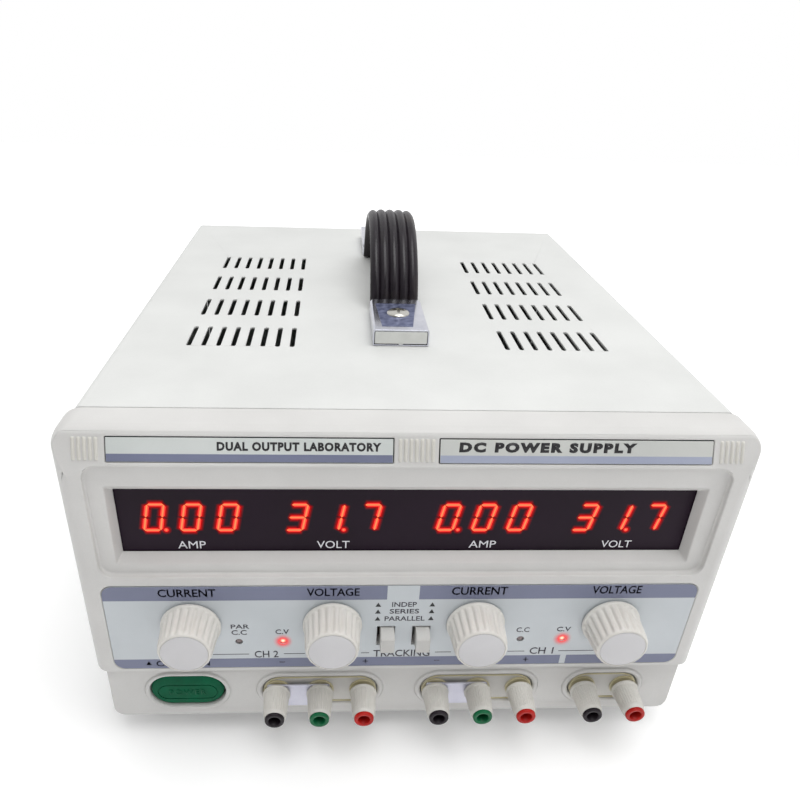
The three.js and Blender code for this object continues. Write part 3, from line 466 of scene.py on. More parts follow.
def lit_look(name, core, edge, strength):
    """Light that goes from its edge colour to its core colour along attribute `lit`."""
    nodes = Nodes(name)
    lit = nodes.lit()
    colour = nodes.mix(nodes.spread(lit, 0, 1, 0.15, 0.85), srgb(edge), srgb(core))
    nodes.set(colour=srgb("#200404"), glow=colour, strength=strength, rough=0.5)
    return nodes.material


def halo_look(name, colour, share):
    """Soft light round a lamp, which fades with attribute `lit`."""
    nodes = Nodes(name)
    lit = nodes.lit()
    fade = nodes.add("Math", {0: lit, 1: 1.6}, operation="POWER").outputs[0]
    weight = nodes.add("Math", {0: fade, 1: share}, operation="MULTIPLY").outputs[0]
    light = nodes.add("Emission", {"Color": srgb(colour), "Strength": 1.0})
    clear = nodes.add("BsdfTransparent")
    both = nodes.add("MixShader", {0: weight, 1: clear.outputs[0], 2: light.outputs[0]})
    output = nodes.tree.nodes["Material Output"]
    nodes.feed(output.inputs["Surface"], both.outputs[0])
    nodes.tree.nodes.remove(nodes.shader)
    return nodes.material


PAINT = finish("painted_steel", "#d0d1cf", "#d7d8d6", (0.48, 0.6), grain=1100, relief=0.22)
BEZEL = finish("bezel_plastic", "#cac9c7", "#d2d1cf", (0.42, 0.55), grain=1700, relief=0.2)
RIBS = finish("bezel_plastic_aged", "#cbc9c2", "#d4d2cc", (0.42, 0.55), grain=1700)
LABEL = printed_look("panel_print", "#c0c6ca", "#c9ced2")
SLATE = printed_look("slate_print", "#70758d", "#787d96")
INK = printed_look("dark_ink", "#2d2a35", "#393641", relief=0.05)
BOLD_INK = printed_look("black_ink", "#141217", "#1d1b21", relief=0.05)
WHITE_INK = printed_look("white_ink", "#d9d9de", "#ececf0", relief=0.05)
STRIP = printed_look("strip_print", "#c6cbc9", "#d0d4d2", (0.35, 0.45))
# Copies of the strip print and its band for the right strip, whose other colours are a painted
# sheen.
SHEEN_STRIP = printed_look("strip_print_painted_sheen", "#c2c4c1", "#cbccc8", (0.35, 0.45))
SHEEN_SLATE = printed_look("slate_print_painted_sheen", "#9ea4b8", "#a8aec0", (0.35, 0.45))
WINDOW = finish(
    "dark_window", "#1a0d1a", "#221222", (0.3, 0.38), patch=20, grain=700, relief=0.02,
    specular=0.12,
)
CREAM = finish("cream_plastic", "#d3d0ca", "#dcdad5", (0.4, 0.52), patch=90, grain=1600)
KEY = finish("key_plastic", "#bcbbb8", "#c6c5c2", (0.45, 0.55), patch=90, grain=1600)
DISC = finish("knob_disc", "#c9c8ca", "#d2d1d3", (0.45, 0.55), grain=2200, relief=0.12)
POST = finish("post_plastic", "#cac7c1", "#d4d2cc", (0.42, 0.55), patch=120, grain=1600)
PAD = finish("terminal_plastic", "#bdbbb7", "#c7c5c1", (0.4, 0.5), patch=90, grain=1500)
PAD_EDGE = finish("terminal_edge", "#bcb28a", "#cbc4a6", (0.4, 0.5), patch=140, grain=1500)
GREEN = finish(
    "green_button", "#005236", "#006141", (0.42, 0.55), patch=160, grain=1300, relief=0.3,
    specular=0.1,
)
BLACK = finish("black_plastic", "#18181a", "#222225", (0.4, 0.55), grain=1600, relief=0.2)
FOOT = finish("foot_rubber", "#141416", "#1f1f21", (0.75, 0.9), grain=1900, relief=0.4)
NICKEL = finish("nickel", "#c3c1bb", "#d6d4ce", (0.18, 0.3), patch=150, metal=1.0, relief=0.05)
CHROME = finish("chrome", "#cfd1dc", "#dfe0e8", (0.12, 0.2), patch=120, metal=1.0, relief=0.03)
CAP_PLATE = finish(
    "brushed_plate", "#dddeda", "#e8e9e5", (0.3, 0.4), patch=160, metal=0.15, relief=0.1,
    stretch=(0.3, 1, 3),
)
TINNED = finish("tinned_link", "#c9c9d8", "#d6d6e2", (0.3, 0.42), patch=180, metal=0.5)
ZINC = finish("zinc_steel", "#9da1a4", "#b3b6b8", (0.35, 0.5), patch=220, metal=0.9)
FIN = finish(
    "black_aluminium", "#1b1c1f", "#2a2b2f", (0.35, 0.5), grain=500, stretch=(8, 8, 0.4),
    metal=0.6,
)
CORE = finish(
    "core_steel", "#413e3c", "#575351", (0.45, 0.6), grain=1200, stretch=(0.1, 0.1, 6),
    metal=0.6, relief=0.5,
)
BOARD = board_look()
STRAP = strap_look()
LID = lid_look()
RING = {
    name: finish(f"ring_{name}", dark, light, (0.35, 0.45), patch=200, specular=0.25)
    for name, dark, light in (
        ("black", "#150e14", "#20171f"), ("green", "#055c37", "#086b41"),
        ("red", "#a3120c", "#b81c12"),
    )
}
DIGIT_LIGHT = lit_look("digit_light", "#ff8a48", "#fb1712", 1.12)
LAMP_LIGHT = lit_look("lamp_light", "#ffd0b0", "#ff3b33", 1.6)
DIGIT_HALO = halo_look("digit_halo", "#f01410", 0.85)
LAMP_HALO = halo_look("lamp_halo", "#ff6668", 0.95)
LAMP_OFF = finish("lamp_dark", "#6f6262", "#8a7d7c", (0.2, 0.3), patch=400)

# ---- sizes

FRONT = -165.0  # plane of the control panel
CASE_HALF, CASE_TOP, CASE_BOTTOM = 127.1, 163.6, 14.0
CASE_FRONT, CASE_BACK = -143.9, 118.0
SHEET = 1.2
BEZEL_BACK = -144.2
PANEL_BOTTOM = 46.5
BEZEL_HALF = 132.5
LABEL_HALF, LABEL_BOTTOM, LABEL_TOP, LABEL_CORNER = 121.1, 48, 94, 4.5
OPENING = (112.5, 105.9, 135.8, 0.4)  # of the display: half width, bottom, top and corner
CHIN_FRONT = FRONT + 3
RIM_FRONT = CHIN_FRONT - 1
PANEL_BACK = CHIN_FRONT + 3
WINDOW_FRONT = FRONT + 8
WINDOW_BACK = WINDOW_FRONT + 1.5
LEAN_LOW, LEAN_HIGH = (FRONT, 147.0), (FRONT + 5.2, 161.4)  # y and z of the leaning face
KNOBS = {
    "current_left": -87.4, "voltage_left": -29.8, "current_right": 29.8, "voltage_right": 87.4,
}
KNOB_Z = 73.5
LAMPS = {"cc_left": -68.6, "cv_left": -50.4, "cc_right": 50.4, "cv_right": 68.6}
LAMP_Z, LAMP_RADIUS = 63.3, 1.5
TRACK_X = 7.4  # of the tracking buttons, either side of the middle
POST_Z, POST_PITCH = 30.0, 19.05
POST_GROUPS = [
    (-34.9, ("black", "green", "red")),
    (35.5, ("black", "green", "red")),
    (93.5, ("black", "red")),
]
WINDOW_END, WINDOW_HALF, RIM = 9.1, 11.15, 2.6  # rims round the posts: ends, half height, width
POWER = (-93.1, 18.6, 11.7, 2.0)  # middle, half length, half height and width of its rim
PAD_FRONT, COLLAR_FRONT = -162.2, -163.0
LINK_FRONT, LINK_BACK = -164.1, -163.3
CAP_BACK, CAP_TIP = -164.4, -178.1
POST_HOLE = 3.1  # radius, in the plates that a post goes through
HANDLE_Y = 4.0  # middle of the strap
HANDLE_TOP, HANDLE_RADIUS = 203.4, 50
SCREW_REACH, SCREW_HOLE = 69.6, 2.3  # the cap screws' distance from it, and their holes' radius
FAN_Z, FAN_RADIUS = 112, 28  # its axis and the duct
PRINT = 0.03  # how far print stands proud of its face


def posts_of(group):
    centre, colours = POST_GROUPS[group]
    first = centre - (len(colours) - 1) / 2 * POST_PITCH
    return [(colour, first + i * POST_PITCH) for i, colour in enumerate(colours)]


def panel_windows():
    """Middle, half length, half height and width of the four rims on the chin."""
    rims = [POWER]
    for centre, colours in POST_GROUPS:
        reach = (len(colours) - 1) / 2 * POST_PITCH + WINDOW_END
        rims.append((centre, reach, WINDOW_HALF, RIM))
    return rims


def lean_y(z):
    share = (z - LEAN_LOW[1]) / (LEAN_HIGH[1] - LEAN_LOW[1])
    return LEAN_LOW[0] + share * (LEAN_HIGH[0] - LEAN_LOW[0])


def on_lean(name, x, z, proud, deep):
    """Plate that follows the leaning face."""
    outline = [
        (lean_y(z[0]) - proud, z[0]), (lean_y(z[0]) + deep, z[0]),
        (lean_y(z[1]) + deep, z[1]), (lean_y(z[1]) - proud, z[1]),
    ]
    return prism(name, outline, "X", *x)


# ---- lettering


def lettering(text, x, z, face, bold=0.0, slant=0.0, leaning=False, space=1.0):
    """Raised print that fills x and z limits on a plane, or on the leaning face."""
    curve = bpy.data.curves.new("text", "FONT")
    curve.body = text
    curve.space_character = space
    curve.offset = bold
    curve.shear = slant
    curve.resolution_u = 3
    holder = link("text", curve)
    graph = bpy.context.evaluated_depsgraph_get()
    flat = bpy.data.meshes.new_from_object(holder.evaluated_get(graph))
    bpy.data.objects.remove(holder)
    bpy.data.curves.remove(curve)
    build = bmesh.new()
    build.from_mesh(flat)
    bpy.data.meshes.remove(flat)
    bmesh.ops.remove_doubles(build, verts=build.verts, dist=1e-5)
    low = [min(v.co[k] for v in build.verts) for k in (0, 1)]
    high = [max(v.co[k] for v in build.verts) for k in (0, 1)]
    grown = bmesh.ops.extrude_face_region(build, geom=build.faces[:])
    lifted = {g for g in grown["geom"] if isinstance(g, bmesh.types.BMVert)}
    for vert in build.verts:
        u = x[0] + (vert.co.x - low[0]) / (high[0] - low[0]) * (x[1] - x[0])
        v = z[0] + (vert.co.y - low[1]) / (high[1] - low[1]) * (z[1] - z[0])
        base = lean_y(v) if leaning else face
        vert.co = Vector((u, base - (PRINT if vert in lifted else -PRINT), v)) * MM
    bmesh.ops.recalc_face_normals(build, faces=build.faces)
    mesh = bpy.data.meshes.new("text")
    build.to_mesh(mesh)
    build.free()
    return link("text", mesh)


def printed(points, face):
    """Flat printed shape on an upright plane."""
    return prism("print", points, "Y", face - PRINT, face + PRINT)


# ---- enclosure


def make_cover():
    half, top, fold = CASE_HALF, CASE_TOP, 2.5
    outer = rounded(-half, half, CASE_BOTTOM, top, fold, lower=0.01, steps=5)
    shell = prism("cover_shell", outer, "Y", CASE_FRONT, CASE_BACK)
    wall = half - SHEET
    inner = rounded(-wall, wall, 0, top - SHEET, fold - SHEET, lower=0.01, steps=5)
    cut(shell, prism("inside", inner, "Y", CASE_FRONT - 5, CASE_BACK + 5))
    slots = []
    wide, long, rows, columns = 1.1, 11, 4, 8  # of the slots on top; the first two are halves
    first, pitch, first_row, row_pitch = 49.4, 6.6, -77, 36.8
    for side in (-1, 1):
        for row in range(rows):
            for i in range(columns):
                x, y = side * (first + pitch * i), first_row + row_pitch * row
                outline = rounded(x - wide, x + wide, y - long, y + long, wide, steps=5)
                slots.append(prism("slot", outline, "Z", top - 4, top + 1))
        for i in range(9):
            y = -20 + 8 * i
            outline = rounded(y - 1.2, y + 1.2, 67, 93, 1.2, steps=5)
            slots.append(prism("slot", outline, "X", side * half - 3, side * half + 3))
    cut(shell, *slots)
    piece(soften(shell, 0.22), PAINT, replaces=["cover"])


def make_rim(x, long, high, wide):
    """Rounded oblong ring that stands proud of the chin."""
    levels = [(share * wide, RIM_FRONT + drop) for share, drop in (
        (0, 3), (0, 0.85), (0.08, 0.45), (0.25, 0.12), (0.5, 0), (0.75, 0.12), (0.92, 0.45),
        (1.02, 0.85), (1.02, 3),
    )]
    return oblong_stack("rim", (x, POST_Z), long, high, levels, closed=True)


def make_bezel():
    half, wide, deep = BEZEL_HALF, 8.5, 14
    rings = []
    for i in range(11):
        angle = math.radians(9 * i)
        inset, y = wide * (1 - math.sin(angle)), FRONT + deep * (1 - math.cos(angle))
        outline = rounded(
            -half + inset, half - inset, 20 + inset, CASE_TOP - 0.3 * inset, 9 - 0.85 * inset,
            steps=8,
        )
        rings.append(section(outline, y))
    rings.append([(x, BEZEL_BACK, z) for x, _, z in rings[-1]])
    body = loft("bezel_body", rings)
    brow = (FRONT + 12.4, CASE_TOP)
    side = [
        (FRONT - 1, PANEL_BOTTOM - 0.3), (BEZEL_BACK, 40.0), (BEZEL_BACK, CASE_TOP), brow,
        *bend(brow, (FRONT + 5.98, CASE_TOP), LEAN_HIGH), (lean_y(149), 149),
        *bend((lean_y(149), 149), LEAN_LOW, (FRONT, 145), 4), (FRONT - 1, 144.9),
    ]
    combine(body, "INTERSECT", [prism("side", side, "X", -half - 1, half + 1)])
    chin = rounded(-126.7, 126.7, CASE_BOTTOM, PANEL_BOTTOM + 10, 0.5, lower=5, steps=8)
    join(body, prism("chin", chin, "Y", CHIN_FRONT, BEZEL_BACK))

    funnel = []
    for reach, low, high, radius, y in (
        (120.3, 98.8, 150.3, 5.0, FRONT - 4), (120.3, 98.8, 150.3, 5.0, FRONT + 2.0),
        (119.7, 99.4, 149.7, 4.4, FRONT + 2.5), (114.3, 103, 140.3, 1.2, FRONT + 3.0),
        (*OPENING, WINDOW_FRONT - 0.3), (*OPENING, WINDOW_FRONT + 2),
    ):
        outline = rounded(-reach, reach, low, high, radius)
        funnel.append(section(outline, y))
    cut(body, block("hollow", (-126, 126), (FRONT + 10.5, -143), (97, CASE_TOP - 3)))
    cut(body, block("hollow", (-123.5, 123.5), (PANEL_BACK, -143), (17, 97.5)))
    cut(body, loft("recess", funnel))
    cut(body, block("pocket", (-115.4, 115.4), (WINDOW_FRONT - 0.3, FRONT + 11), (103, 138.7)))
    label = rounded(-121.4, 121.4, 47.7, 94.3, 4.5)
    cut(body, prism("label", label, "Y", FRONT - 1, FRONT + 0.8))
    for side in (-1, 1):
        x = sorted((side * 8.2, side * 111.5))
        cut(body, on_lean("strip", x, (151.6, 160.7), 2, 0.8))
    for rim in panel_windows():
        join(body, make_rim(*rim))
    holes = [
        prism("hole", oblong(x, POST_Z, long - wide, high - wide), "Y", FRONT - 6, PANEL_BACK + 1)
        for x, long, high, wide in panel_windows()
    ]
    cut(body, *holes, *panel_holes(4.0, 1.8))
    soften(body, 0.45, 3)
    split_sides(body, 123, 143)
    body.data.set_sharp_from_angle(angle=math.radians(20))
    piece(body, BEZEL, replaces=["bezel"])


def panel_holes(shaft, lamp):
    """Tools that cut round holes of two radii and the tracking buttons' openings."""
    y = (FRONT - 1, PANEL_BACK + 1)
    holes = [round_bar(x, KNOB_Z, shaft, *y, segments=40) for x in KNOBS.values()]
    holes += [round_bar(x, LAMP_Z, lamp, *y) for x in LAMPS.values()]
    holes += [
        block("hole", (x - 3.8, x + 3.8), y, (60.5, 71.5)) for x in (-TRACK_X, TRACK_X)
    ]
    return holes


def make_ribs():
    """Small upright ribs at both ends of the name strips."""
    bars = []
    for first, count in ((-122.4, 5), (-6.0, 7), (114.4, 5)):
        for i in range(count):
            rings = []
            for z, share in ((152.3, 0.1), (152.7, 0.85), (153.3, 1), (159.7, 1), (160.3, 0.85),
                             (160.7, 0.1)):
                ring = []
                for k in range(9):
                    angle = math.radians(180 * k / 8)
                    x = first + 2 * i + 0.72 * math.cos(angle)
                    ring.append((x, lean_y(z) + 0.3 - 0.9 * share * math.sin(angle), z))
                rings.append(ring)
            bars.append(loft("rib", rings))
    piece(smooth(merge("bezel_ribs", bars)), RIBS)


def make_rear_panel():
    half = CASE_HALF - SHEET - 0.3
    outline = rounded(-half, half, CASE_BOTTOM + 0.5, CASE_TOP - SHEET - 0.3, 1.0)
    panel = prism("rear_plate", outline, "Y", CASE_BACK - SHEET, CASE_BACK)
    y = (CASE_BACK - 5, CASE_BACK + 5)
    cut(
        panel, round_bar(0, FAN_Z, FAN_RADIUS, *y, segments=64),
        block("inlet", (-23.3, 23.3), y, (28.7, 61.3)),
    )
    piece(soften(panel, 0.2), PAINT, replaces=["rear_panel"])


def make_feet():
    profile = [
        (0, 4.5), (3.2, 4.5), (3.6, 0.6), (4.2, 0), (8.2, 0), (8.8, 0.3), (9.05, 1),
        (10.3, 12.7), (10.5, 13.3), (10.5, 13.7), (0, 13.7),
    ]
    for end, y in (("front", -122), ("rear", 98)):
        for side, x in (("left", -108), ("right", 108)):
            foot = lathe(f"foot_{end}_{side}_rubber", profile, (x, y), "Z", 40)
            piece(smooth(foot), FOOT, replaces=[f"foot_{end}_{side}"])


def screw_head(name, centre, axis, face, outward, radius=3.2, height=1.5):
    """Domed head with a cross slot; `face` is the plane that it sits on."""
    profile = [(0, face - 0.3 * outward), (radius, face - 0.3 * outward)]
    profile += dome(radius, face, outward * height, 6)
    head = lathe(name, profile, centre, axis, 32)
    u, v = centre
    arms = []
    for wide, tall in ((radius * 0.55, radius * 0.12), (radius * 0.12, radius * 0.55)):
        outline = square(u - wide, u + wide, v - tall, v + tall)
        ends = sorted((face + outward * height * 0.4, face + outward * (height + 1)))
        arms.append(prism("arm", outline, axis, *ends))
    cut(head, *arms)
    return smooth(head)


def make_case_screws():
    heads = []
    for side in (-1, 1):
        for y in (-120, -15, 90):
            heads.append(screw_head("screw", (y, 20), "X", side * CASE_HALF, side))
        for z in (22, 156):
            heads.append(screw_head("screw", (side * 118, z), "Y", CASE_BACK, 1, 3.0))
        for z in (88, 136):
            heads.append(screw_head("screw", (side * 24, z), "Y", CASE_BACK + 2.1, 1, 2.4, 1.2))
        heads.append(screw_head("screw", (side * 24.4, 45), "Y", CASE_BACK + 2.8, 1, 1.6, 1.0))
    piece(merge("case_screws", heads), NICKEL)


# ---- display and name strips

SEGMENTS = {  # ends of each bar in units of the digit's width and half height
    "a": ((0, 2), (1, 2)), "b": ((1, 2), (1, 1)), "c": ((1, 1), (1, 0)), "d": ((0, 0), (1, 0)),
    "e": ((0, 1), (0, 0)), "f": ((0, 2), (0, 1)), "g": ((0, 1), (1, 1)),
}
GLYPHS = {"0": "abcdef", "1": "bc", "3": "abcdg", "7": "abc"}
DIGIT = {"width": 6.3, "height": 12.4, "bar": 0.86, "slant": 0.19, "bottom": 115.95}
READINGS = [  # left end and pitch of the digits
    (-103.3, 14.15, "0.00"), (-48.4, 14.15, "31.7"), (11.2, 14.15, "0.00"), (66.1, 13.7, "31.7"),
]


def bar_rings(start, end, widths):
    """Six-sided outlines round a line, one for each half width."""
    (x0, z0), (x1, z1) = start, end
    length = math.hypot(x1 - x0, z1 - z0)
    u, v = (x1 - x0) / length, (z1 - z0) / length
    rings = []
    for wide in widths:
        back = DIGIT["bar"] * 0.15 - 0.6 * max(wide - DIGIT["bar"], 0)
        near, far = back, length - back
        shoulder = min(wide, 0.9)
        rows = [
            (near, 0), (near + shoulder, -wide), (far - shoulder, -wide), (far, 0),
            (far - shoulder, wide), (near + shoulder, wide),
        ]
        rings.append([(x0 + u * s - v * t, z0 + v * s + u * t) for s, t in rows])
    return rings


def glowing(name, shapes, y, values):
    """Flat faces between nested outlines; `values` is attribute `lit` at each outline."""
    points, faces, lit = [], [], []
    for rings in shapes:
        count = len(rings[0])
        for r, ring in enumerate(rings):
            for i in range(count):
                if r:
                    a, b = len(points) - count + i, len(points) - count + (i + 1) % count
                    faces.append((a, b, len(points) + (i + 1) % count, len(points) + i))
            points += [(u, y, v) for u, v in ring]
            lit += [values[r]] * count
    mesh = bpy.data.meshes.new(name)
    mesh.from_pydata([Vector(p) * MM for p in points], [], faces)
    attribute = mesh.attributes.new("lit", "FLOAT", "POINT")
    attribute.data.foreach_set("value", lit)
    if mesh.polygons and mesh.polygons[0].normal.y > 0:
        mesh.flip_normals()
    return link(name, mesh)


def dot_rings(u, v, radii):
    """Nested circles."""
    return [circle(u, v, radius, 16) for radius in radii]


def digit_shapes(widths, dot_radii):
    """Nested outlines of every lit bar and point, leaned to the right."""
    shapes = []
    size = DIGIT

    def leaned(x, z):
        return x + (z - size["bottom"]) * size["slant"], z

    for left, pitch, reading in READINGS:
        cell = left
        for sign in reading:
            if sign == ".":
                dot = leaned(cell - pitch + size["width"] + 2.1, size["bottom"] + 0.1)
                shapes.append(dot_rings(*dot, dot_radii))
                continue
            for stroke in GLYPHS[sign]:
                ends = [
                    leaned(cell + i * size["width"], size["bottom"] + j * size["height"] / 2)
                    for i, j in SEGMENTS[stroke]
                ]
                shapes.append(bar_rings(*ends, widths))
            cell += pitch
    return shapes


def make_display():
    pane = block("display_pane", (-115.1, 115.1), (WINDOW_FRONT, WINDOW_BACK), (103.3, 138.4))
    piece(soften(pane, 0.2), WINDOW, replaces=["display_window"])
    bar = DIGIT["bar"]
    face = WINDOW_FRONT - 0.05
    bars = glowing(
        "digit_bars",
        digit_shapes((0.001, 0.35 * bar, 0.7 * bar, bar), (0.001, 0.35, 0.65, 0.9)),
        face, (1, 0.5, 0.1, 0),
    )
    piece(bars, DIGIT_LIGHT)
    halo = glowing(
        "digit_halo",
        digit_shapes((0.6 * bar, bar + 0.25, bar + 0.8, bar + 1.6), (0.5, 1, 1.6, 2.4)),
        face + 0.03, (1, 0.8, 0.4, 0.0),
    )
    piece(halo, DIGIT_HALO)
    words = [lettering(text, x, z, WINDOW_FRONT) for text, x, z in (
        ("AMP", (-91.1, -80.2), (106.7, 110.4)), ("VOLT", (-36.4, -23.4), (106.7, 110.4)),
        ("AMP", (24.9, 35.9), (106.8, 110.4)), ("VOLT", (79.5, 92.0), (106.8, 110.4)),
    )]
    piece(merge("display_words", words), WHITE_INK)


def make_strips():
    # The right strip takes the print copies whose colours are a painted sheen.
    for side, x, film, slate in (
        ("left", (-111.05, -8.65), STRIP, SLATE), ("right", (8.65, 111.05), SHEEN_STRIP, SHEEN_SLATE),
    ):
        # A black sheet fills the gap round each strip as painted shade of the gap.
        floor = (x[0] - 0.43, x[1] + 0.43)
        gap_shade = on_lean(f"name_gap_painted_shade_{side}", floor, (151.62, 160.68), -0.52, 0.78)
        piece(soften(gap_shade, 0.05, 1), BLACK)
        plate = on_lean(f"name_plate_{side}", x, (152.05, 160.25), 0, 0.5)
        piece(soften(plate, 0.08, 2), film, replaces=[f"name_strip_{side}"])
        edge = (x[0] + 0.1, x[1] - 0.1)
        band = on_lean(f"name_band_{side}", edge, (152.15, 154.8), PRINT, 0.1)
        piece(soften(band, 0.01, 1), slate)
    words = [
        lettering("DUAL OUTPUT LABORATORY", (-72, -13), (156.0, 159.1), 0, 0.05, leaning=True,
                  space=1.15),
        lettering("DC POWER SUPPLY", (15.5, 82), (155.9, 159.5), 0, 0.07, 0.06, leaning=True,
                  space=1.3),
    ]
    piece(merge("name_words", words), BOLD_INK)


def make_label():
    half, corner = LABEL_HALF, LABEL_CORNER
    outline = rounded(-half, half, LABEL_BOTTOM, LABEL_TOP, corner)
    plate = prism("panel_film", outline, "Y", FRONT, FRONT + 0.5)
    cut(plate, *panel_holes(4.7, 1.6))
    piece(smooth(plate), LABEL, replaces=["control_label"])

    bands = [printed(cornered(*limits), FRONT) for limits in (
        (-half, -7.8, 86.6, LABEL_TOP, (0, 0, corner, 0)),
        (5.3, half, 86.6, LABEL_TOP, (0, corner, 0, 0)),
        (-half, 69.5, LABEL_BOTTOM, 53.3, (0, 0, 0, corner)),
        (72.1, half, LABEL_BOTTOM, 53.3, (corner, 0, 0, 0)),
    )]
    piece(merge("label_bands", bands), SLATE)

    ink = [lettering(text, x, z, FRONT, bold) for text, x, z, bold in (
        ("CURRENT", (-99.2, -76.4), (88.6, 92.8), 0.018),
        ("VOLTAGE", (-40.3, -19.0), (88.7, 92.9), 0.018),
        ("CURRENT", (18.4, 41.4), (88.9, 93.2), 0.018),
        ("VOLTAGE", (76.5, 97.3), (89.1, 93.4), 0.018),
        ("CH 2", (-62.5, -52.5), (53.7, 57.7), 0.01), ("CH 1", (55.5, 65.9), (54.1, 58.1), 0.01),
        ("TRACKING", (-12.2, 12.0), (53.5, 57.5), 0.012),
        ("INDEP", (-5.6, 4.6), (82.5, 85.1), 0.016), ("SERIES", (-6.4, 5.8), (78.7, 81.3), 0.016),
        ("PARALLEL", (-8.3, 8.4), (74.6, 77.2), 0.016), ("PAR", (-71.6, -64), (70.8, 73.2), 0.016),
        ("C.C", (-71.5, -65.2), (67.3, 70.0), 0.016), ("C.V", (-53.4, -47.8), (67.5, 70.2), 0.016),
        ("C.C", (48, 53.6), (67.4, 70.1), 0.016), ("C.V", (65.4, 71.4), (67.6, 70.3), 0.016),
        ("ON", (-88.0, -81.6), (49.0, 52.4), 0.01), ("OFF", (-103.9, -95.6), (49.0, 52.4), 0.01),
    )]
    rules = [(x0, x1, 55.7, 56.05) for x0, x1 in (
        (-79.9, -64.8), (-50.2, -41.3), (-17.5, -14), (14.3, 21.2), (45.8, 53.2), (68.2, 83.9),
    )]
    for minus, plus in ((-51.0, -15.4), (15.4, 54.5)):
        rules += [(x - 1.2, x + 1.2, 50.6, 51.05) for x in (minus, plus)]
        rules += [(plus - 0.22, plus + 0.22, *z) for z in ((51.05, 52.1), (49.5, 50.6))]
    ink += [printed(square(*limits), FRONT) for limits in rules]
    piece(merge("label_words", ink), INK)

    arrows = [[(-108.2, 49.9), (-105.8, 49.9), (-107.0, 52.1)]]
    for z in (82.4, 78.6, 74.6):
        for x in (-11.2, 11.0):
            arrows.append([(x - 1.2, z + 0.2), (x + 1.2, z + 0.2), (x, z + 2.5)])
    arrows = [printed(points, FRONT) for points in arrows]
    piece(merge("label_arrows", arrows), BOLD_INK)


# ---- controls


def make_knobs():
    back, face = FRONT - 0.6, -180.0
    for name, x in KNOBS.items():
        body = f"knob_{name}_body"
        profile = [
            (0, -152.6), (3, -152.6), (3, back), (11.9, back), (12.2, back - 0.3),
            (12.2, back - 1.1), (12.0, back - 1.5), (11.75, back - 1.7, 0.3),
            (11.65, back - 2.2, 1), (11.4, back - 5, 1), (11.1, back - 8.5, 1),
            (10.85, face + 2.4, 1), (10.75, face + 1.7, 0.8), (10.55, face + 1.0, 0.35),
            (10.2, face + 0.45, 0.1), (9.8, face + 0.15), (9.5, face + 0.1),
            (9.35, face + 0.35), (0, face + 0.35),
        ]
        knob = lathe(
            f"knob_{name}_grip", profile, (x, KNOB_Z), segments=220, flutes=22, depth=0.8,
        )
        piece(smooth(knob, 50), CREAM, body, [f"knob_{name}"])
        disc = [
            (0, face + 0.6), (9.2, face + 0.6), (9.2, face + 0.12), (9.0, face + 0.02), (0, face),
        ]
        inlay = lathe(f"knob_{name}_disc", disc, (x, KNOB_Z), segments=72)
        piece(smooth(inlay), DISC, body)


def make_lamps():
    for name, x in LAMPS.items():
        profile = [(0, -147.9), (LAMP_RADIUS, -147.9), (LAMP_RADIUS, FRONT + 0.9)]
        profile += dome(LAMP_RADIUS, FRONT + 0.9, -0.7, 5)
        lamp = smooth(lathe(f"lamp_{name}_lens", profile, (x, LAMP_Z), segments=24), 60)
        lit = name.startswith("cv")
        if lit:
            values = lamp.data.attributes.new("lit", "FLOAT", "POINT")
            for i, vert in enumerate(lamp.data.vertices):
                reach = math.hypot(vert.co.x / MM - x, vert.co.z / MM - LAMP_Z)
                values.data[i].value = 1 - reach / LAMP_RADIUS
        piece(lamp, LAMP_LIGHT if lit else LAMP_OFF, replaces=[f"lamp_{name}"])
    halo = glowing(
        "lamp_halo",
        [dot_rings(LAMPS[name], LAMP_Z, (1.5, 2.1, 3.1, 4.5)) for name in ("cv_left", "cv_right")],
        FRONT - 0.06, (1, 0.8, 0.4, 0.0),
    )
    piece(halo, LAMP_HALO)


def make_tracking_buttons():
    face, tail = FRONT - 5.2, -156.2
    outline = [
        (face, 61.6), (face + 0.8, 61.0), (tail, 61.0), (tail, 70.7), (FRONT, 70.7),
        (face + 1.9, 69.8), (face + 0.3, 68.7), (face, 68.2),
    ]
    for side, x in (("left", -TRACK_X), ("right", TRACK_X)):
        name = f"tracking_button_{side}"
        key = prism(f"{name}_key", outline, "X", x - 2.4, x + 3.4)
        piece(soften(key, 0.25, 3), KEY, f"{name}_body", [name])


def make_power_button():
    x, face, tail = -93.3, -161.8, -153.0
    levels = ((0, tail), (0, face + 1.2), (0.15, face + 0.6), (0.5, face + 0.2), (1.0, face))
    button = oblong_stack("power_button_key", (x, POST_Z), 16.0, 9.1, levels, 12)
    levels = ((0, face - 1), (0.1, face + 0.35), (0.5, face + 0.35), (0.6, face - 1))
    cut(button, oblong_stack("groove", (x, 28.6), 13.2, 4.5, levels, 12, closed=True))
    piece(smooth(button, 40), GREEN, "power_button_body", ["power_button"])
    word = lettering("POWER", (x - 8, x + 8), (26.9, 30.3), face - 0.1, 0.01, space=1.3)
    word.name = "power_button_word"
    piece(word, GREEN, "power_button_body")


# ---- binding posts


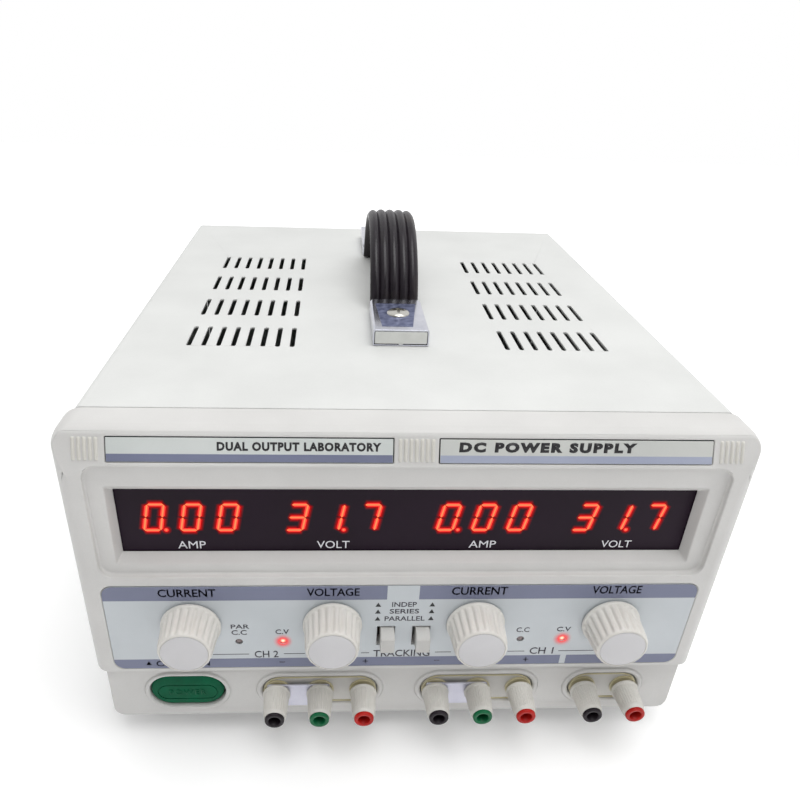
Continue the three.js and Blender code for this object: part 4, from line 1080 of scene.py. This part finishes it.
def make_terminal_board():
    front = PANEL_BACK + 0.3
    board = block("terminal_plate", (-70, 120), (front, front + 3), (17.6, 44))
    pads, edges, holes = [], [], []
    for centre, long, high, wide in panel_windows()[1:]:
        long, high = long - wide - 0.5, high - wide - 0.5
        pads.append(prism("pad", oblong(centre, POST_Z, long, high), "Y", PAD_FRONT, front + 1))
        levels = [(inset, PAD_FRONT - lift) for inset, lift in (
            (0, -0.1), (0.15, 0.25), (0.45, 0.4), (0.75, 0.25), (0.9, -0.1),
        )]
        edges.append(oblong_stack("edge", (centre, POST_Z), long, high, levels, closed=True))
    for group in range(len(POST_GROUPS)):
        for _, x in posts_of(group):
            holes.append(round_bar(x, POST_Z, POST_HOLE, -165, front + 4))
            profile = [
                (POST_HOLE, PAD_FRONT + 0.2), (6.0, PAD_FRONT + 0.2), (6.0, COLLAR_FRONT + 0.2),
                (5.8, COLLAR_FRONT), (POST_HOLE, COLLAR_FRONT),
            ]
            edges.append(lathe("collar", profile, (x, POST_Z), segments=40, closed=True))
    join(board, *pads)
    cut(board, *holes)
    piece(smooth(board), PAD, replaces=["terminal_board"])
    piece(smooth(merge("terminal_edges", edges)), PAD_EDGE)


def make_post(group, colour, x):
    back, tip = CAP_BACK, CAP_TIP
    name = f"post_cap_{group}_{colour}"
    profile = [
        (3.2, back), (5.7, back), (5.93, back - 0.15), (6.0, back - 0.4), (6.0, back - 0.9),
        (5.85, back - 1.15), (5.65, back - 1.35, 0.3), (5.6, back - 1.8, 1), (5.3, back - 6, 1),
        (4.92, tip + 2.9, 1), (4.87, tip + 2.6, 0.6), (4.72, tip + 2.2), (4.45, tip + 1.6),
        (4.3, tip + 1.2), (3.2, tip + 1.2),
    ]
    cap = lathe(
        f"{name}_grip", profile, (x, POST_Z), segments=180, flutes=30, depth=0.24, closed=True,
    )
    piece(smooth(cap, 50), POST, f"{name}_body", [name])
    ring = [
        (3.05, tip + 1.3), (4.15, tip + 1.3), (4.2, tip + 1.0), (4.15, tip + 0.35),
        (4.02, tip + 0.08), (3.9, tip), (2.75, tip), (2.6, tip + 0.15), (2.6, tip + 8.6),
        (3.05, tip + 8.6),
    ]
    end = lathe(f"{name}_ring", ring, (x, POST_Z), segments=48, closed=True)
    piece(smooth(end, 50), RING[colour], f"{name}_body")

    name, front = f"post_stud_{group}_{colour}", -169.0
    stud = [
        (0, -149.5), (2.5, -149.5), (2.8, -149.8), (2.8, -154.5), (2.8, front + 0.3),
        (2.5, front), (2.1, front), (2.05, front + 9), (0, front + 9),
    ]
    rod = lathe(f"{name}_rod", stud, (x, POST_Z), segments=32)
    nut = prism("nut", circle(x, POST_Z, 4.8, 6), "Y", -155.4, -152.4)
    cut(nut, round_bar(x, POST_Z, 2.0, -156, -152))
    rod = merge(f"{name}_rod", [rod, nut])
    piece(smooth(rod), NICKEL, replaces=[name])


def make_link(group, first, second):
    outline = rounded(first - 4.2, second + 4.2, 21.6, 34.8, 1.0)
    strip = prism(f"post_link_{group}_bar", outline, "Y", LINK_FRONT, LINK_BACK)
    cut(strip, *(round_bar(x, POST_Z, POST_HOLE, -165, -162) for x in (first, second)))
    piece(soften(strip, 0.15), TINNED, replaces=[f"post_link_{group}"])


def make_posts():
    for group in range(len(POST_GROUPS)):
        posts = posts_of(group)
        for colour, x in posts:
            make_post(group + 1, colour, x)
        if len(posts) == 3:
            make_link(group + 1, posts[0][1], posts[1][1])


# ---- handle


def make_strap():
    half, ribs, base, rib = 12.3, 5, 3.0, 1.6
    inner = HANDLE_RADIUS - base - rib
    outline = [(-half + 0.1, 0.5), (-half + 0.6, 0.0), (half - 0.6, 0.0), (half - 0.1, 0.5)]
    steps = 70
    for i in range(steps + 1):
        u = half - 2 * half * i / steps
        wave = abs(math.sin(math.pi * ribs * (u + half) / (2 * half))) ** 0.8
        drop = 1.3 * max(0, (abs(u) - 0.45 * half) / (0.55 * half)) ** 2.2
        outline.append((u, base + 0.1 + (rib - 0.1) * wave - drop))
    centre = HANDLE_TOP - HANDLE_RADIUS
    low = math.acos((164.9 - centre) / (inner + 2))
    rings = []
    for i in range(65):
        angle = -low + 2 * low * i / 64
        rings.append([
            (u, HANDLE_Y + (inner + v) * math.sin(angle), centre + (inner + v) * math.cos(angle))
            for u, v in outline
        ])
    strap = loft("handle_strap_band", rings)
    tails = []
    for side in (-1, 1):
        y = sorted((HANDLE_Y + side * 45.2, HANDLE_Y + side * 76))
        tails.append(block("tail", (-11.3, 11.3), y, (164.95, 169.05)))
        screw_y = HANDLE_Y + side * SCREW_REACH
        cut(tails[-1], round_bar(0, screw_y, SCREW_HOLE, 160, 170, "Z"))
    join(strap, *tails)
    piece(smooth(strap, 60), STRAP, replaces=["handle_strap"])


def make_handle_cap(end, side):
    bottom, top, half = CASE_TOP + 0.3, CASE_TOP + 8.1, 12.8
    screw = (0, HANDLE_Y + side * SCREW_REACH)

    def along(distance):
        return HANDLE_Y + side * distance

    def between(first, second):
        return sorted((along(first), along(second)))

    rings = []
    for distance, inset, lift, drop, radius, lower in (
        (49.4, 0.6, 0, 1.0, 3.2, 0.1), (49.7, 0.3, 0, 0.5, 2.9, 0.1),
        (50.3, 0.1, 0, 0.15, 2.5, 0.1), (51.2, 0, 0, 0, 2.0, 0.1), (53.0, 0, 0, 0, 1.2, 0.1),
        (90.0, 0, 0, 0, 1.1, 0.1), (89.94, 0.6, 0.4, 0.75, 0.8, 0.3),
        (89.2, 0.6, 0.4, 0.75, 0.8, 0.3),
    ):
        outline = rounded(-half + inset, half - inset, bottom + lift, top - drop, radius, lower)
        rings.append(section(outline, along(distance)))
    shell = loft(f"handle_cap_{end}_shell", rings)
    cut(shell, block("slot", (-11.6, 11.6), between(48, 78), (bottom - 1, 169.4)))
    cut(shell, round_bar(*screw, SCREW_HOLE, bottom - 1, top + 1, "Z"))
    piece(soften(shell, 0.15, 2), CHROME, replaces=[f"handle_cap_{end}"])

    # A black sheet behind the groove round the front plate, as painted shade of the groove.
    outline = rounded(-half + 0.65, half - 0.65, bottom + 0.45, top - 0.8, 0.75)
    groove_shade = prism(f"handle_cap_{end}_seam", outline, "Y", *between(89.22, 89.45))
    piece(smooth(groove_shade), BLACK)
    rings = []
    for inset, distance in ((0, 89.46), (0, 89.7), (0.15, 89.85)):
        outline = rounded(
            -half + 0.9 + inset, half - 0.85 - inset, bottom + 0.85 + inset, top - 1.05 - inset,
            0.5 - inset,
        )
        rings.append(section(outline, along(distance)))
    tab = block("tab", (-0.9, 0.9), between(89.46, 89.75), (bottom + 0.42, bottom + 0.83))
    plate = merge(f"handle_cap_{end}_plate", [loft("plate", rings), tab])
    piece(smooth(plate, 30), CAP_PLATE)

    # Lid on top of the cap; its bluish colour is a painted reflection.
    outline = [(-10.3, along(57)), (9.6, along(57)), (5.6, along(86)), (-8.6, along(86))]
    foil = prism(f"handle_cap_{end}_foil", outline, "Z", top - 0.05, top + 0.06)
    cut(foil, round_bar(*screw, SCREW_HOLE, 160, 175, "Z"))
    piece(smooth(foil), LID)
    head = screw_head(f"handle_screw_{end}_head", screw, "Z", top + 0.1, 1, 5.5, 1.75)
    shank = round_bar(*screw, 2.0, 155, top + 0.1, "Z", 20)
    head = merge(f"handle_screw_{end}_head", [head, shank])
    piece(smooth(head), NICKEL, replaces=[f"handle_screw_{end}"])


# ---- rear


def make_heatsink(name, x0, x1):
    base, back, tip = CASE_BACK + 0.3, CASE_BACK + 6.3, 180.0
    pitch = (x1 - x0 - 2) / 11
    outline = [(x0, base)]
    for i in range(12):
        left = x0 + i * pitch
        outline += [
            (left, back), (left + 0.25, tip - 0.8), (left + 0.6, tip), (left + 1.4, tip),
            (left + 1.75, tip - 0.8), (left + 2, back),
        ]
    outline.append((x1, base))
    sink = prism(f"{name}_fins", outline, "Z", 26, 140)
    piece(soften(sink, 0.2, 2, 50), FIN, replaces=[name])


def tilted(target, angle):
    """Turns a piece about the Y axis and lifts it to the fan's middle."""
    turn = Matrix.Rotation(math.radians(angle), 4, "Y")
    target.data.transform(Matrix.Translation((0, 0, FAN_Z * MM)) @ turn)
    return target


def make_fan():
    y0, y1 = CASE_BACK - 1.5 - 25, CASE_BACK - 1.5
    frame_body = prism("fan_housing", rounded(-30, 30, 82, 142, 4), "Y", y0, y1)
    cut(frame_body, round_bar(0, FAN_Z, FAN_RADIUS, y0 - 1, y1 + 1, segments=64))
    for angle in (45, 135):
        join(frame_body, tilted(block("arm", (-29, 29), (y0, y0 + 3), (-1.5, 1.5)), angle))
    join(frame_body, round_bar(0, FAN_Z, 11, y0, y0 + 3, segments=40))
    cut(frame_body, round_bar(0, FAN_Z, 1.8, y0 - 1, y0 + 9, segments=20))
    piece(soften(frame_body, 0.4), BLACK, replaces=["fan_frame"])

    blades = []
    front, back = 96.0, 109.0
    for i in range(7):
        start = 2 * math.pi * i / 7
        rings = []
        for k in range(7):
            radius = 10.5 + 16.3 * k / 6
            twist = math.radians(42 - 14 * k / 6)
            ring = []
            for side in (1, -1):
                for step in range(7):
                    s = (step / 6 - 0.5) * side
                    bow = 1.2 * (1 - 4 * s * s)
                    along = s * 12 * math.sin(twist) * 1.2
                    across = s * 12 * math.cos(twist) * 1.2
                    angle = start + across / max(radius, 14)
                    thick = 0.4 * side * (1 - 3.2 * s * s)
                    depth = (front + back) / 2 + along + bow * 0.6 + thick
                    depth = min(max(depth, front), back)
                    ring.append((
                        radius * math.cos(angle), depth, FAN_Z + radius * math.sin(angle),
                    ))
            rings.append(ring)
        blades.append(loft("blade", rings))
    hub = [
        (0, 92), (1.5, 92), (1.5, front), (10.2, front), (10.8, front + 0.6), (11, front + 1.5),
        (11, back - 1.5), (10.8, back - 0.5), (10, back), (0, back),
    ]
    rotor = merge("fan_blades", [lathe("hub", hub, (0, FAN_Z)), *blades])
    piece(smooth(rotor), BLACK, "fan_rotor_body", ["fan_rotor"])

    y = CASE_BACK + 1.2
    wires = []
    for radius in (28.5, 22, 15.5, 9):
        ring = [
            (radius + 0.8 * math.cos(a), y + 0.8 * math.sin(a))
            for a in (2 * math.pi * k / 10 for k in range(10))
        ]
        wires.append(lathe("wire", ring, (0, FAN_Z), segments=72, closed=True))
    for angle in (45, 135):
        wires.append(tilted(round_bar(y, 0, 0.7, -36, 36, "X", 10), angle))
    piece(smooth(merge("fan_guard_wires", wires)), CHROME, replaces=["fan_guard"])


def make_inlet():
    y0, y1 = CASE_BACK + 0.3, CASE_BACK + 2.8
    body = block("inlet_housing", (-23, 23), (94, y1 - 1), (29, 61))
    join(body, prism("flange", rounded(-26, 26, 26, 64, 3), "Y", y0, y1))
    mouth = [(-12, 41.5), (12, 41.5), (12, 53.5), (8, 57.5), (-8, 57.5), (-12, 53.5)]
    cut(body, prism("socket", mouth, "Y", y1 - 16, y1 + 1))
    cut(body, block("drawer", (-11.8, 11.8), (100.7, y1 + 1), (31.3, 37.9)))
    piece(soften(body, 0.35), BLACK, replaces=["mains_inlet"])
    blades = []
    for x, z in ((0, 51.5), (-7, 46.5), (7, 46.5)):
        blades.append(block("pin", (x - 1, x + 1), (y1 - 16.5, y1 - 5.5), (z - 2, z + 2)))
    piece(soften(merge("inlet_pins", blades), 0.4), NICKEL)
    drawer = block("fuse_drawer_front", (-11.5, 11.5), (101, y1 + 2), (31.6, 37.6))
    cut(drawer, block("notch", (-3, 3), (y1 + 0.6, y1 + 3), (31, 32.6)))
    cut(drawer, block("line", (-8, 8), (y1 + 1.7, y1 + 3), (34.3, 34.9)))
    piece(soften(drawer, 0.25), BLACK, "fuse_drawer_body", ["fuse_drawer"])


# ---- inside

KEPT = {  # CAD nodes whose shape is right, with the look each one gets
    "chassis_tray": ZINC, "display_board": BOARD, "control_board": BOARD,
    "tracking_switch": BLACK, "power_switch": BLACK, "transformer": CORE, "main_board": BOARD,
}


def dress_kept_nodes():
    for name, look in KEPT.items():
        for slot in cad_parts[name].material_slots:
            slot.material = look


# ---- stage


def make_stage():
    span, height = 1500, -0.2
    outline = square(-span, span, -span, span)
    floor = mesh_object("floor", section(outline, height, "Z"), [(0, 1, 2, 3)])
    floor.data.materials.append(floor_look())


def make_light(name, place, target, power, size):
    data = bpy.data.lights.new(name, "AREA")
    data.energy = power
    data.size = size
    lamp = link(name, data)
    lamp.location = place
    aim = Vector(target) - Vector(place)
    lamp.rotation_euler = aim.to_track_quat("-Z", "Y").to_euler()


def make_world():
    """Even light that comes mostly from above and behind, white where it is seen itself."""
    world = bpy.data.worlds.new("studio")
    nodes = Nodes("studio", world)
    bright_side = Vector((0.1, 0.75, 0.65)).normalized()
    where = nodes.add("TexCoord").outputs["Generated"]
    reach = nodes.add("VectorMath", {0: where, 1: bright_side}, operation="DOT_PRODUCT")
    ramp = nodes.add("ValToRGB", {"Fac": nodes.spread(reach.outputs["Value"], 0, 1, -0.6, 0.6)})
    shades = ramp.color_ramp.elements
    shades.new(0.5)
    for shade, value in zip(shades, (0.22, 0.41, 0.93)):
        shade.color = (value, value, value, 1)
    nodes.feed(nodes.shader.inputs["Color"], ramp.outputs["Color"])
    nodes.feed(nodes.shader.inputs["Strength"], 0.92)
    white = nodes.add("Background", {"Color": (1, 1, 1, 1)})
    seen = nodes.add("LightPath").outputs["Is Camera Ray"]
    either = nodes.add("MixShader", {0: seen, 1: nodes.shader.outputs[0], 2: white.outputs[0]})
    nodes.feed(nodes.tree.nodes["World Output"].inputs["Surface"], either.outputs[0])
    bpy.context.scene.world = world


make_light("overhead", (0.15, -0.35, 1.4), (0, -0.05, 0.1), 11.5, 1.0)
make_light("side", (1.1, -0.7, 0.9), (0, -0.1, 0.08), 1.6, 0.8)
make_world()
bpy.context.scene.view_settings.view_transform = "Standard"

make_cover()
make_bezel()
make_ribs()
make_rear_panel()
make_feet()
make_case_screws()
make_display()
make_strips()
make_label()
make_knobs()
make_lamps()
make_tracking_buttons()
make_power_button()
make_terminal_board()
make_posts()
make_strap()
make_handle_cap("front", -1)
make_handle_cap("rear", 1)
make_heatsink("heatsink_left", -122, -42)
make_heatsink("heatsink_right", 42, 122)
make_fan()
make_inlet()
dress_kept_nodes()
make_stage()
